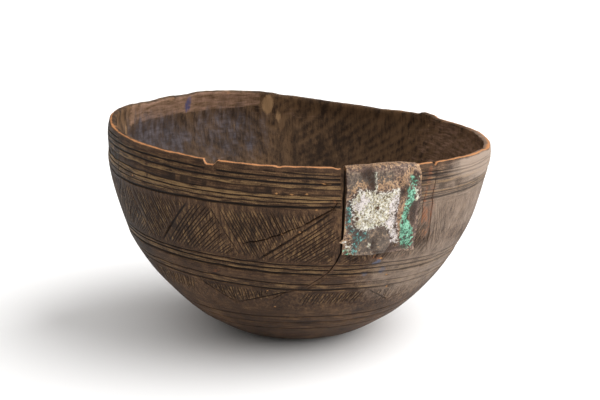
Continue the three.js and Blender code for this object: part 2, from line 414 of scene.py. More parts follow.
@dataclass
class Carving:
    """Every cut of the outer face: rings, belts of hatching, cracks and chips."""

    wall: Wall
    split: Split
    luck: random.Random = field(default_factory=lambda: random.Random(SEED))
    belt_radius: float = 172
    hatch_pitch: float = 2.55
    stroke_step: float = 5.5
    weathered_at: float = 62
    weathering: float = 0.72
    rings: tuple[tuple[float, float, float, float, Section, float], ...] = (
        (249.4, -11.5, 1.6, 0.6, Section.VEE, 0.45),
        (246.1, -10.5, 2.1, 0.75, Section.ROUND, 0.5),
        (241.6, -9.8, 2.3, 0.7, Section.ROUND, 0.55),
        (234.2, -9.0, 7.0, 0.75, Section.FLAT, 0.75),
        (228.3, -7.8, 1.7, 0.7, Section.VEE, 0.8),
        (225.2, -6.5, 1.3, 0.5, Section.VEE, 0.6),
        (221.5, -4.5, 2.7, 1.1, Section.ROUND, 0.45),
        (165.4, -10.7, 2.0, 0.85, Section.VEE, 0.5),
        (161.2, -10.7, 2.2, 1.0, Section.ROUND, 0.6),
        (155.7, -10.7, 3.1, 1.4, Section.ROUND, 0.65),
        (150.2, -10.5, 7.6, 0.35, Section.RIDGE, 0.1),
        (143.4, -10.0, 1.9, 0.85, Section.VEE, 0.5),
        (137.0, -9.5, 2.7, 1.1, Section.ROUND, 0.5),
        (92.5, 0.0, 2.4, 0.7, Section.ROUND, 0.3),
        (82.0, 0.5, 1.8, 0.5, Section.VEE, 0.2),
        (69.0, 0.5, 2.2, 0.5, Section.ROUND, 0.2),
    )

    def cuts(self) -> list[Cut]:
        """All the cuts, whole; the ones that meet the split are broken there later."""
        made = self._rings() + self._main_belt() + self._lower_belt()
        return made + self._cracks() + self._chips()

    def _rings(self) -> list[Cut]:
        """The grooves that run right round the bowl."""
        made = []
        for number, (climb, drop, width, depth, section, lip) in enumerate(self.rings):
            line = []
            for step in range(0, 361):
                angle = -168.1 + step
                across, along = turned(angle)
                sway = 0.8 * noise.noise(Vector((across * 2.2, along * 2.2, number * 3.7)))
                sway += 0.45 * noise.noise(Vector((across * 11, along * 11, number * 1.3)))
                line.append((angle, climb + drop * across + sway))
            shade = 0.1 if section is Section.RIDGE else 0.75 if section is Section.FLAT else 1
            made.append(Cut(tuple(line), width, depth, section, 0, shade, 0, lip))
        return made

    @staticmethod
    def _between(share: float, angle: float, top: Plane, bottom: Plane) -> Plane:
        """A place in a belt.

        Args:
            share: 0 at the belt's foot and 1 at its top.
            angle: the place round the bowl.
            top: the climb of the belt's top at the front, and its change towards +X.
            bottom: the same for its foot.

        Returns:
            The angle and the climb.
        """
        across = math.sin(math.radians(angle))
        high = top[0] + top[1] * across
        low = bottom[0] + bottom[1] * across
        return angle, low + share * (high - low)

    def _straight(
        self,
        start: Plane,
        end: Plane,
        belt: Belt,
        width: float,
        depth: float,
        section: Section = Section.VEE,
        bow: float = 0,
    ) -> Cut:
        """A cut across a belt between two places, each an angle and a share of the belt."""
        (a0, t0), (a1, t1) = start, end
        reach = math.hypot(math.radians(a1 - a0) * self.belt_radius, (t1 - t0) * BELT_REACH)
        count = max(2, round(reach / self.stroke_step))
        weather = 1 - self.weathering * hump((a0 + a1) / 2, self.weathered_at, 24)
        line = []
        for step in range(count + 1):
            s = step / count
            swing = bow * math.sin(math.pi * s)
            angle = a0 + s * (a1 - a0) + swing
            line.append(self._between(t0 + s * (t1 - t0), angle, *belt))
        shade, lip = 0.95 * weather, 0.5 * weather
        return Cut(tuple(line), width, depth * weather, section, 2.2, shade, 0, lip)

    def _hatch(self, start: Plane, end: Plane, belt: Belt) -> Cut:
        """One fine stroke of hatching, a little uneven as a hand cuts it."""
        luck = self.luck
        (a0, t0), (a1, t1) = start, end
        a0 += luck.uniform(-0.16, 0.16)
        a1 += luck.uniform(-0.16, 0.16)
        t0 = min(1.0, max(0.0, t0 + luck.uniform(-0.03, 0.03)))
        t1 = min(1.0, max(0.0, t1 + luck.uniform(-0.03, 0.03)))
        width = luck.uniform(1.1, 1.6)
        depth = luck.uniform(0.4, 0.75)
        return self._straight((a0, t0), (a1, t1), belt, width, depth, bow=luck.uniform(-0.12, 0.12))

    def _spacing(self, lean: float) -> float:
        """The angle between strokes that lean over by some degrees across the belt."""
        slope = math.atan2(BELT_REACH, math.radians(lean) * self.belt_radius)
        gap = self.hatch_pitch / math.sin(slope)
        return math.degrees(gap / self.belt_radius)

    def _main_belt(self) -> list[Cut]:
        """The broad belt: slanting plain stripes with hatching that follows each stripe."""
        belt = ((218.6, -4.5), (167.4, -10.7))
        spans = [
            (-44.3, -31.2, -24.6, -16.6),
            (-11.6, 9.0, 14.5, 19.0),
            (22.0, 33.0, 38.0, 43.0),
            (45.6, 59.5, 66.0, 73.0),
        ]
        first, last, count = 77.0, 315.7, 8
        shares = (0, 0.42, 0.6, 0.86)
        width = (last - first) / count
        for number in range(count):
            start = first + (last - first) * number / count
            spans.append(tuple(start + width * s + self.luck.uniform(-1, 1) for s in shares))
        spans.sort()
        made = []
        for here, after in zip(spans, spans[1:] + [tuple(a + 360 for a in spans[0])]):
            made += self._rising_panel(here, belt)
            made += self._falling_panel(here, after, belt)
        return made

    def _rising_panel(self, span: tuple[float, ...], belt: Belt) -> list[Cut]:
        """A rising stripe and the hatching beside it, up to the falling stripe.

        Args:
            span: where the rising stripe starts and ends, then where the falling one does.
            belt: the belt's top and foot.

        Returns:
            The cuts.
        """
        foot, head, fall_head, fall_foot = span
        stripe = 2.5
        lean = head - foot
        made = [
            self._straight((foot, 0.02), (head, 0.98), belt, 2.6, 0.95, Section.ROUND),
            self._straight((foot + stripe, 0.02), (head + stripe, 0.98), belt, 1.7, 0.65),
        ]
        step = self._spacing(abs(lean))
        at = foot + stripe + step
        flatter = 0.0
        while at < fall_foot - 1.2:
            reach = lean * (1 + flatter)
            end = min(1.0, (fall_foot - at) / (reach + fall_foot - fall_head))
            if end > 0.08:
                made.append(self._hatch((at, 0.0), (at + reach * end, end), belt))
            at += step * self.luck.uniform(0.9, 1.12)
            flatter += 0.022
        return made

    def _falling_panel(
        self, span: tuple[float, ...], after: tuple[float, ...], belt: Belt
    ) -> list[Cut]:
        """A falling stripe and the steep hatching beside it, up to the next rising stripe.

        Args:
            span: where the stripes of this panel start and end.
            after: the same for the next panel round the bowl.
            belt: the belt's top and foot.

        Returns:
            The cuts.
        """
        _, _, head, foot = span
        next_foot, next_head = after[0] - 0.6, after[1] - 0.6
        stripe = 2.9
        lean = foot - head
        made = [
            self._straight((head, 0.98), (foot, 0.02), belt, 1.6, 0.6),
            self._straight((head + stripe, 0.98), (foot + 0.6 * stripe, 0.02), belt, 1.6, 0.6),
        ]
        step = self._spacing(lean)
        at = head + stripe + step
        while at < next_head - 1:
            reach = lean * 0.9
            end = min(1.0, (next_head - at) / max(0.1, reach + next_head - next_foot))
            if end > 0.07:
                made.append(self._hatch((at, 1.0), (at + reach * end, 1 - end), belt))
            at += step * self.luck.uniform(0.88, 1.12)
        return made

    def _lower_belt(self) -> list[Cut]:
        """The belt below the middle rings: wide shallow vees with upright hatching in them."""
        belt = ((134.4, -9.5), (110.5, -4))
        made = []
        period = 60
        for number in range(6):
            start = -34 + number * period + (self.luck.uniform(-3, 3) if number else 0)
            point, end = start + 11.2, start + 31
            made.append(self._straight((start, 1), (point, 0.06), belt, 2.0, 0.8, Section.ROUND))
            made.append(self._straight((point, 0.06), (end, 1), belt, 2.0, 0.8, Section.ROUND))
            at = start + 2.5
            while at < end - 5:
                depth = (at - start) / 11.2 if at < point else (end - at) / 19.8
                lean = self.luck.uniform(-0.5, 0.9)
                made.append(self._hatch((at, 0.98), (at + lean, 1 - 0.92 * depth), belt))
                at += self.luck.uniform(0.85, 1.25)
            at = end + 6
            while at < start + period - 3:
                low = self.luck.uniform(0.18, 0.4)
                made.append(self._hatch((at - 2.6, low), (at, 0.98), belt))
                at += self.luck.uniform(0.9, 1.3)
        return made

    def _cracks(self) -> list[Cut]:
        """The fine cracks that the split sends out, and the one at the right of the patch."""
        wander = self._wander
        fork = (1.3, 204.8)
        beside_patch = ((40.8, 247.6), (39.5, 221), (40.4, 200.7), (42.3, 164.1))
        return [
            Cut(wander((0.8, 138.4), (-4.3, 132.6), (-10.6, 120.2)), 0.9, 0.9, taper=12),
            Cut(wander((10.2, 225.6), (9.4, 219.7), (4.7, 211.1), fork), 1.9, 1.8, taper=1),
            Cut(wander(fork, (-4.9, 196.2), (-9.4, 190.8), (-16.2, 185.4)), 1.6, 1.9, taper=9),
            Cut(wander(*beside_patch), 1.3, 1.5, taper=10),
            Cut(wander((36.9, 228), (36.2, 214), (36.9, 198)), 1.0, 0.9, taper=9),
            Cut(wander((-63, 246), (-61.5, 205), (-60.8, 186)), 0.7, 0.7, taper=14),
            Cut(wander((148, 250), (150, 214), (147, 176)), 0.8, 0.9, taper=14),
            Cut(wander((-133, 60), (-128, 104), (-126, 130)), 0.8, 0.8, taper=14),
        ]

    def _wander(self, *corners: Plane) -> tuple[Plane, ...]:
        """A broken line through some places, as a crack runs along the grain."""
        line = [corners[0]]
        for (a0, c0), (a1, c1) in zip(corners, corners[1:]):
            reach = math.hypot(math.radians(a1 - a0) * self.belt_radius, c1 - c0)
            count = max(1, round(reach / 3.2))
            for step in range(1, count + 1):
                share = step / count
                stray = 0 if step == count else 1
                angle = a0 + share * (a1 - a0) + stray * self.luck.uniform(-0.13, 0.13)
                line.append((angle, c0 + share * (c1 - c0) + stray * self.luck.uniform(-0.4, 0.4)))
        return tuple(line)

    def _chips(self) -> list[Cut]:
        """Small bare chips, the hollow beside the split, and the fresh wood on its lower lip."""
        hollow = ((10.0, 222.5), (9.2, 218.6), (8.6, 214.4))
        upper_lip = ((12.6, 175.2), (10.6, 163.5), (9.2, 154.2))
        lower_lip = ((8.4, 151.2), (6.0, 145.0), (3.2, 138.9), (0.0, 134))
        made = [
            Cut(hollow, 6.5, 1.3, Section.ROUND, 4, 0.35, 0.25),
            Cut(upper_lip, 2.6, 0.4, Section.ROUND, 6, 0, 0.4),
            Cut(lower_lip, 2.8, 0.45, Section.ROUND, 6, 0, 0.5),
        ]
        for angle, climb, length, width in (
            (-5.6, 233.2, 5, 2.6), (-1.6, 232.4, 7, 2.4), (2.2, 232.8, 5, 2.2),
            (6.8, 241.0, 9, 2.0), (4.8, 219.0, 5, 2.2), (-4.6, 196.6, 6, 3.0),
            (0.4, 198.6, 5, 2.4), (25.3, 166.8, 7, 3.8), (23.6, 140.4, 5, 3.0),
            (29.4, 146.0, 7, 2.6), (31.6, 130.0, 8, 3.2), (-8.5, 111.0, 5, 2.6),
            (-53, 232, 5, 2.4), (-10, 134.6, 3.4, 2.2),
        ):
            half = math.degrees(length / 2 / self.belt_radius)
            tilt = self.luck.uniform(-0.8, 0.8)
            line = ((angle - half, climb - tilt), (angle, climb), (angle + half, climb + tilt))
            made.append(Cut(line, width, 0.45, Section.ROUND, length / 3, 0, 1))
        return made


# --------------------------------------------------------------------------- stains and painted light and shade


class Tint(Enum):
    """What marks the wood's colour: stains and wear, with painted shade, highlight and sheen among
    them; the value is the name of the mesh attribute that holds it.
    """

    RUST = "rust"
    BLUE = "blue"
    INK = "ink"
    TAN = "tan"
    PALE = "pale"
    SMOKE = "shade_and_darkening"


@dataclass(frozen=True)
class Stain:
    """A mark on the wood: an oval on the wall, in millimetres, turned by some degrees."""

    angle: float
    height: float
    half_width: float
    half_height: float
    turn: float = 0
    strength: float = 1

    def at(self, angle: float, height: float) -> float:
        """How strong the mark is at a place of the wall."""
        away = wrapped(angle - self.angle)
        ahead, above = math.radians(away) * STAIN_RADIUS, height - self.height
        reach = max(self.half_width, self.half_height) * 1.6
        if abs(ahead) > reach or abs(above) > reach:
            return 0.0
        cos, sin = math.cos(math.radians(self.turn)), math.sin(math.radians(self.turn))
        along = (ahead * cos + above * sin) / self.half_width
        across = (above * cos - ahead * sin) / self.half_height
        return self.strength * smooth_step(1.5, 0.5, math.hypot(along, across))


@dataclass
class Stains:
    """All the marks on the wood's colour, as the fields of a Stain each: what time and use have
    left, with painted shade on the outer left side, a painted highlight on the outer right side and
    a painted blue-grey sheen on the left of the inside.
    """

    OUTSIDE: ClassVar[dict[Tint, Ovals]] = {
        Tint.RUST: (
            (39.3, 146, 6, 34, 0, 0.62), (37.2, 150, 3, 30, 4, 0.66),
            (37.6, 178, 3.5, 14, -20, 0.66), (41.5, 120, 6, 12, 0, 0.4), (34.0, 108, 9, 5, 0, 0.5),
            (24.0, 112, 9, 3, 0, 0.6), (9.5, 168, 3, 5, 0, 0.6), (-26, 98, 7, 2.5, 20, 0.7),
        ),
        Tint.BLUE: (
            (24, 107, 6, 3, 10, 0.8), (27, 97, 5, 4, 0, 0.75), (21, 96, 4, 3, 0, 0.7),
        ),
        Tint.TAN: (
            (-2, 181, 9, 1.8, 0, 0.6), (-1, 143, 8, 2.2, 0, 0.7), (45, 116, 7, 2, 0, 0.6),
        ),
        # The four ovals on the right are partly weathering and partly a painted highlight where the
        # wall faces the light.
        Tint.PALE: (
            (62, 150, 130, 44, 0, 0.8), (74, 180, 84, 17, 0, 1.45), (50, 178, 18, 10, 0, 0.8),
            (44, 92, 84, 36, 0, 0.82), (150, 140, 70, 40, 0, 0.4), (-140, 130, 60, 34, 0, 0.3),
        ),
        # Painted shade: the broad oval at -80 darkens the left side, which is turned away from the
        # light; the others darken the lower wall.
        Tint.SMOKE: (
            (-80, 140, 110, 90, 0, 1.0), (-8, 70, 80, 30, 0, 0.3), (-170, 90, 70, 30, 0, 0.5),
            (100, 70, 60, 25, 0, 0.4),
        ),
    }
    INSIDE: ClassVar[dict[Tint, Ovals]] = {
        Tint.TAN: (
            (-168.7, 189, 7, 12, 0, 1), (-172.7, 174, 3.4, 9, 0, 0.8), (-155.7, 165, 3, 11, 0, 0.5),
            (-101, 185, 3, 9, 12, 0.8), (-143, 164, 26, 3.6, -28, 0.45),
            (-140.5, 179, 6, 3, -30, 0.4), (128, 177, 3, 3, 0, 0.8), (123, 187, 2.6, 4, 0, 0.8),
            (112, 173, 3, 3, 0, 0.6), (100, 173, 3, 3, 0, 0.6), (-62, 182, 9, 4, 0, 0.6),
            (118, 186, 20, 6, 0, 0.5), (100, 178, 34, 12, 0, 0.36), (140, 186, 30, 4, 0, 0.34),
        ),
        Tint.PALE: (
            (-150, 150, 6, 40, 8, 0.35), (-138, 150, 4, 34, -6, 0.3), (108, 156, 80, 60, 0, 0.75),
            (-176, 178, 50, 8, 8, 0.4), (-118, 192, 30, 7, 0, 0.5),
        ),
        Tint.INK: (
            (-136.5, 196, 5.5, 12, 8, 0.74),
        ),
        # Blue-grey on the left of the inside: old pigment, with a painted sheen where that wall
        # faces the light.
        Tint.BLUE: (
            (-150, 148, 5, 8, 0, 1.0), (-116, 155, 76, 44, 0, 1.0), (-152, 160, 60, 36, 0, 0.75),
        ),
        # These darken the inner wall at the left back and at the back.
        Tint.SMOKE: (
            (-120, 150, 90, 50, 0, 0.45), (165, 140, 70, 50, 0, 0.5),
        ),
    }
    band: tuple[float, float, float] = (-165.5, -104.5, 187)

    def __post_init__(self) -> None:
        """Makes the stains of each face from the tables."""
        self.stains = [
            {tint: [Stain(*oval) for oval in ovals] for tint, ovals in table.items()}
            for table in (self.OUTSIDE, self.INSIDE)
        ]

    def at(self, angle: float, height: float, inside: bool) -> dict[str, float]:
        """The strength of every tint at a place on one face of the wall."""
        found = {tint.value: 0.0 for tint in Tint}
        for tint, stains in self.stains[inside].items():
            found[tint.value] = max(stain.at(angle, height) for stain in stains)
        start, end, foot = self.band
        if inside and start - 4 < angle < end + 4:
            share = smooth_step(start - 1.2, start + 0.6, angle)
            share *= smooth_step(end + 1.5, end - 1, angle)
            found["pale"] = max(found["pale"], share * smooth_step(foot - 1.5, foot + 1.5, height))
        return found


# --------------------------------------------------------------------------- the body's mesh


@dataclass
class Drawing:
    """Points and fixed lines on the flat map of a face, ready to be joined into triangles."""

    spots: list[Vector] = field(default_factory=list)
    lines: list[tuple[int, int]] = field(default_factory=list)
    marks: list[tuple[float, ...]] = field(default_factory=list)
    taken: set[tuple[int, int]] = field(default_factory=set)
    cell: float = 1.5

    def add(self, place: Plane, marks: tuple[float, ...] = UNMARKED) -> int:
        """Adds a point and returns its number.

        Args:
            place: the point on the flat map.
            marks: its depth, its darkness, how bare it is and how rubbed.

        Returns:
            The point's number.
        """
        self.spots.append(Vector(place))
        self.marks.append(marks)
        self.taken.add(self._cell_of(place))
        return len(self.spots) - 1

    def join(self, first: int, second: int) -> None:
        """Fixes a line between two points, and keeps loose points off it."""
        self.lines.append((first, second))
        start, end = self.spots[first], self.spots[second]
        count = max(1, round((end - start).length / self.cell))
        for step in range(1, count):
            spot = start.lerp(end, step / count)
            self.taken.add(self._cell_of(spot))

    def is_free(self, place: Plane) -> bool:
        """Whether a place is clear of every point and line."""
        column, row = self._cell_of(place)
        near = [(column + across, row + along) for across in (-1, 0, 1) for along in (-1, 0, 1)]
        return self.taken.isdisjoint(near)

    def _cell_of(self, place: Sequence[float]) -> tuple[int, int]:
        """The square of the map that a place lies in."""
        return math.floor(place[0] / self.cell), math.floor(place[1] / self.cell)


@dataclass(frozen=True)
class Edge:
    """A place on the open edge of both faces: along the rim or down a side of the split."""

    angle: float
    height: float
    crest: float


@dataclass
class BowlBody:
    """The carved wooden body: both faces, drawn flat and lifted onto the wall, and their edge."""

    wall: Wall
    split: Split
    rim_step: float = 0.62
    grid: float = 4.2
    inner_grid: float = 3.6
    crest_rows: int = 6
    lowest_rim_crest: float = 2
    crest_wear: tuple[float, ...] = (0.05, 1.0, 0.5, 0.2, 0.35)

    def edges(self) -> list[Edge]:
        """The one loop that bounds both faces, round the rim and down and up the split."""
        wall, split = self.wall, self.split
        corners = {}
        for side in (-1, 1):
            angle, width = split.at(wall.rim(split.path[0][0]))
            corners[side] = angle + side * split.half_angle(width)
        turn = corners[-1] + 360 - corners[1]
        count = round(turn / self.rim_step)
        loop = []
        for step in range(count + 1):
            angle = corners[1] + turn * step / count
            loop.append(Edge(angle, wall.rim(angle) - wall.rounding, wall.rounding))
        loop += self._split_side(-1, loop[-1].height)
        loop.append(Edge(*split.tip, 0))
        loop += reversed(self._split_side(1, loop[0].height))
        return loop

    def _split_side(self, side: int, top: float) -> list[Edge]:
        """One torn side of the split, from just below the rim to just above its tip."""
        luck = random.Random(SEED + side)
        places = []
        height = top - 1.5
        while height > self.split.path[-1][1]:
            angle, width = self.split.at(height)
            torn = luck.uniform(-0.28, 0.28) * min(1, width / 2)
            turned_by = side * self.split.half_angle(width + torn)
            crest = 1.4 * max(0.0, 1 - (top - height) / 4)
            places.append(Edge(angle + turned_by, height, crest))
            height -= 2.4
        return places

    @staticmethod
    def _bound(drawing: Drawing, face: Face, loop: Sequence[Edge]) -> list[int]:
        """Draws the loop on a face's flat map and returns the numbers of its points."""
        ring = [drawing.add(face.on_map(edge.angle, face.climb_at(edge.height))) for edge in loop]
        for first, second in zip(ring, ring[1:] + ring[:1]):
            drawing.join(first, second)
        return ring

    def _draw_cut(self, drawing: Drawing, cut: Cut) -> None:
        """Draws one cut, broken wherever it would run into the split or over the rim."""
        face, stretch = self.wall.outer, []
        for angle, climb in cut.line:
            height = face.place(climb)[1]
            top = self.wall.rim(angle) - self.wall.rounding
            if self.split.touches(angle, height) or height > top - 0.5 - cut.width / 2:
                self._draw_stretch(drawing, cut, stretch)
                stretch = []
            else:
                stretch.append((angle, climb))
        self._draw_stretch(drawing, cut, stretch)

    def _draw_stretch(self, drawing: Drawing, cut: Cut, stretch: Sequence[Plane]) -> None:
        """Draws an unbroken stretch of a cut as the lines of its section."""
        if len(stretch) < 2:
            return
        face = self.wall.outer
        steps = []
        for (a0, c0), (a1, c1) in zip(stretch, stretch[1:]):
            radius = face.place((c0 + c1) / 2)[0]
            steps.append((math.radians(a1 - a0) * radius, c1 - c0))
        lengths = [math.hypot(*step) for step in steps]
        total = sum(lengths)
        walked = 0.0
        previous: list[tuple[int, float, float]] = []
        for number, (angle, climb) in enumerate(stretch):
            if number:
                walked += lengths[number - 1]
            before = steps[max(number - 1, 0)]
            after = steps[min(number, len(steps) - 1)]
            run, rise = before[0] + after[0], before[1] + after[1]
            span = math.hypot(run, rise) or 1.0
            fade = 1.0
            if cut.taper:
                fade = min(1.0, 0.12 + min(walked, total - walked) / cut.taper)
            across, along = turned(angle)
            worn = noise.noise(Vector((across * 11, along * 11, climb / 9)))
            width = cut.width * fade**0.5 * (1 + 0.22 * worn)
            depth = cut.depth * fade * (1 + 0.35 * worn)
            radius = face.place(climb)[0]
            row = []
            for share, deep in cut.section.value:
                aside_angle = angle + math.degrees(-rise / span * share * width / radius)
                aside_climb = climb + run / span * share * width
                place = face.on_map(aside_angle, aside_climb)
                strength = abs(deep) * fade
                lip = 0.0 if deep else cut.lip * fade
                marks = (deep * depth, strength * cut.shade, strength * cut.bare, lip)
                point = drawing.add(place, marks)
                row.append((point, aside_angle, aside_climb))
            for first, second in zip(previous, row):
                if not self._spans_split(first[1:], second[1:]):
                    drawing.join(first[0], second[0])
            previous = row

    def _spans_split(self, start: Plane, end: Plane) -> bool:
        """Whether a line between two places, each an angle and a climb, runs over the split."""
        if abs(start[0] - self.split.tip[0]) > self.split.nearby:
            return False
        for share in (0, 0.2, 0.4, 0.6, 0.8, 1):
            angle = start[0] + share * (end[0] - start[0])
            height = self.wall.outer.place(start[1] + share * (end[1] - start[1]))[1]
            if self.split.touches(angle, height, self.split.crack_margin):
                return True
        return False

    def _fill(self, drawing: Drawing, face: Face, loop: Sequence[Edge], step: float) -> None:
        """Scatters loose points over the rest of a face, in a jittered pattern of equal steps."""
        luck = random.Random(SEED)
        top = max(edge.height for edge in loop)
        climb = face.climb_at(top)
        while climb > face.climbs[0] + step:
            radius = face.place(climb)[0]
            count = max(6, round(2 * math.pi * radius / step))
            offset = luck.random()
            for number in range(count):
                angle = 360 * (number + offset) / count
                place_climb = climb + luck.uniform(-0.22, 0.22) * step
                height = face.place(place_climb)[1]
                place = face.on_map(angle, place_climb)
                below_rim = height < self.wall.rim(angle) - self.wall.rounding - 1.2
                if below_rim and not self.split.touches(angle, height) and drawing.is_free(place):
                    drawing.add(place)
            climb -= step * 0.87
        drawing.add((0.0, 0.0))

    @staticmethod
    def _triangles(drawing: Drawing, ring_lines: int) -> tuple[list, list, list]:
        """Joins a drawing into triangles, and keeps those inside its bounding loop.

        Args:
            drawing: the points and lines; the loop's lines come first.
            ring_lines: how many lines the loop has.

        Returns:
            The map places, the triangles and the marks of each place.
        """
        places, edges, faces, old_spots, old_lines, _ = delaunay_2d_cdt(
            drawing.spots, drawing.lines, [], 0, 1e-4, True
        )
        marks = []
        for olds in old_spots:
            known = [drawing.marks[old] for old in olds * 2]
            marks.append(tuple(map(max, *known)) if olds else None)
        fixed = set()
        for (first, second), olds in zip(edges, old_lines):
            if any(old < ring_lines for old in olds):
                fixed.add((min(first, second), max(first, second)))
            for end in (first, second):
                if old_spots[end]:
                    continue
                for old in olds:
                    a, b = drawing.lines[old]
                    length = (drawing.spots[b] - drawing.spots[a]).length or 1.0
                    share = min(1.0, (places[end] - drawing.spots[a]).length / length)
                    ends = zip(drawing.marks[a], drawing.marks[b])
                    mark = tuple(low + share * (high - low) for low, high in ends)
                    marks[end] = mark if marks[end] is None else tuple(map(max, mark, marks[end]))
        marks = [mark or UNMARKED for mark in marks]
        return places, BowlBody._inside(faces, fixed, places), marks

    @staticmethod
    def _inside(faces: Sequence, fixed: set, places: Sequence[Vector]) -> list:
        """The triangles that are reached from the middle without crossing a bounding line."""
        beside: dict[tuple[int, int], list[int]] = {}
        for number, face in enumerate(faces):
            for a, b in zip(face, face[1:] + face[:1]):
                beside.setdefault((min(a, b), max(a, b)), []).append(number)
        middle = min(range(len(faces)), key=lambda n: sum(places[v].length for v in faces[n]))
        reached = {middle}
        waiting = [middle]
        while waiting:
            face = faces[waiting.pop()]
            for a, b in zip(face, face[1:] + face[:1]):
                side = (min(a, b), max(a, b))
                if side in fixed:
                    continue
                for number in beside[side]:
                    if number not in reached:
                        reached.add(number)
                        waiting.append(number)
        return [faces[number] for number in sorted(reached)]

    def build(self) -> bpy.types.Object:
        """Makes the whole body as one closed mesh with its marks as attributes."""
        loop = self.edges()
        vertices: list[Vector] = []
        faces: list[tuple[int, ...]] = []
        names = ["groove", "bare", "inside", "worn", "lip", "turned", "gouge"]
        names += [tint.value for tint in Tint]
        marks: Marks = {name: [] for name in names}
        stains = Stains()
        rings = []
        for inside, face in ((False, self.wall.outer), (True, self.wall.inner)):
            drawing = Drawing()
            ring = self._bound(drawing, face, loop)
            ring_lines = len(drawing.lines)
            if not inside:
                for cut in Carving(self.wall, self.split).cuts():
                    self._draw_cut(drawing, cut)
            self._fill(drawing, face, loop, self.inner_grid if inside else self.grid)
            places, triangles, point_marks = self._triangles(drawing, ring_lines)
            used = sorted({number for triangle in triangles for number in triangle})
            new_number = {old: len(vertices) + n for n, old in enumerate(used)}
            for old in used:
                angle, climb = face.from_map(*places[old])
                cut_depth = point_marks[old][0]
                if inside:
                    vertices.append(self.wall.inner_spot(angle, climb))
                else:
                    vertices.append(self.wall.outer_spot(angle, climb, -cut_depth))
                values = self._marks_at(angle, climb, point_marks[old], inside)
                values |= stains.at(angle, face.place(climb)[1], inside)
                for name, value in values.items():
                    marks[name].append(value)
            for triangle in triangles:
                turn = [new_number[number] for number in triangle]
                faces.append(tuple(turn if inside else turn[::-1]))
            nearest = {self._key(places[old]): new_number[old] for old in used}
            rings.append([nearest[self._key(drawing.spots[number])] for number in ring])
        self._close(loop, rings, vertices, faces, marks)
        return self._finish(vertices, faces, marks)

    def _marks_at(
        self, angle: float, climb: float, drawn: Sequence[float], inside: bool
    ) -> dict[str, float]:
        """What the mesh carries at a point of a face, but for its stains.

        Args:
            angle: the point's place round the bowl.
            climb: its place up the wall.
            drawn: its marks on the drawing.
            inside: whether it is on the inner face.

        Returns:
            The value of each mark.
        """
        depth, shade, bare, lip = drawn
        face = self.wall.inner if inside else self.wall.outer
        below = self.wall.rim(angle) - self.wall.rounding - face.place(climb)[1]
        return {
            "groove": shade,
            "bare": bare,
            "inside": float(inside),
            "worn": 0.3 * smooth_step(1.2, 0, below),
            "lip": lip if depth == 0 else 0.0,
            "turned": 0.0 if inside else self._in_bands(angle, climb),
            "gouge": self.wall.adzed(angle, climb)[1] if inside else 0.0,
        }

    @staticmethod
    def _in_bands(angle: float, climb: float) -> float:
        """How far a place lies in the bands of rings, where the grain runs along the rings."""
        level = climb + 10 * math.sin(math.radians(angle))
        middle = smooth_step(131, 135, level) * smooth_step(170, 166, level)
        return smooth_step(217, 221, level) + middle + 0.7 * smooth_step(112, 100, level)

    @staticmethod
    def _key(place: Vector) -> tuple[int, int]:
        """A place rounded off, to find it again."""
        return round(place[0] * 1000), round(place[1] * 1000)

    def _close(
        self,
        loop: Sequence[Edge],
        rings: Sequence[Sequence[int]],
        vertices: list[Vector],
        faces: list[tuple[int, ...]],
        marks: Marks,
    ) -> None:
        """Joins the two faces over the rounded rim and across the torn sides of the split."""
        outside, inside = rings
        rows = [list(outside)]
        for row in range(1, self.crest_rows):
            swing = math.pi * row / self.crest_rows
            numbers = []
            for edge, out, into in zip(loop, outside, inside):
                share = (1 - math.cos(swing)) / 2
                spot = vertices[out].lerp(vertices[into], share)
                spot.z += edge.crest * math.sin(swing) ** 0.6 * MM
                on_rim = edge.crest > self.lowest_rim_crest
                rough = noise.noise(spot * 160) * (0.25 if on_rim else 0.4) * MM
                if on_rim:
                    spot.z += rough
                else:
                    across, along = turned(edge.angle)
                    spot += Vector((-along, across, 0)) * rough * math.sin(swing)
                numbers.append(len(vertices))
                vertices.append(spot)
                for values in marks.values():
                    values.append((values[out] + values[into]) / 2)
                marks["groove"][-1] = 0.0 if on_rim else 0.9
                marks["inside"][-1] = 0.5
                turn = wrapped(edge.angle)
                handled = 0.4 + 0.6 * smooth_step(118, 78, abs(turn)) - 0.15 * hump(turn, -55, 28)
                handled = min(1.0, handled + 0.5 * hump(turn, 122, 26))
                marks["worn"][-1] = min(1.0, edge.crest / 2) * handled * self.crest_wear[row - 1]
            rows.append(numbers)
        rows.append(list(inside))
        count = len(loop)
        for low, high in zip(rows, rows[1:]):
            for number in range(count):
                after = (number + 1) % count
                faces.append((low[number], low[after], high[after], high[number]))

    @staticmethod
    def _finish(vertices: Sequence[Vector], faces: Sequence, marks: Marks) -> bpy.types.Object:
        """Makes the object, turns its faces one way out and shades it smooth between sharp edges.
        """
        mesh = bpy.data.meshes.new("carved_body")
        mesh.from_pydata([tuple(vertex) for vertex in vertices], [], faces)
        Bench.write_marks(mesh, marks)
        piece = bpy.data.objects.new("carved_body", mesh)
        bpy.context.scene.collection.objects.link(piece)
        Bench.face_outwards(piece)
        bpy.ops.object.shade_smooth_by_angle(angle=math.radians(38))
        return piece


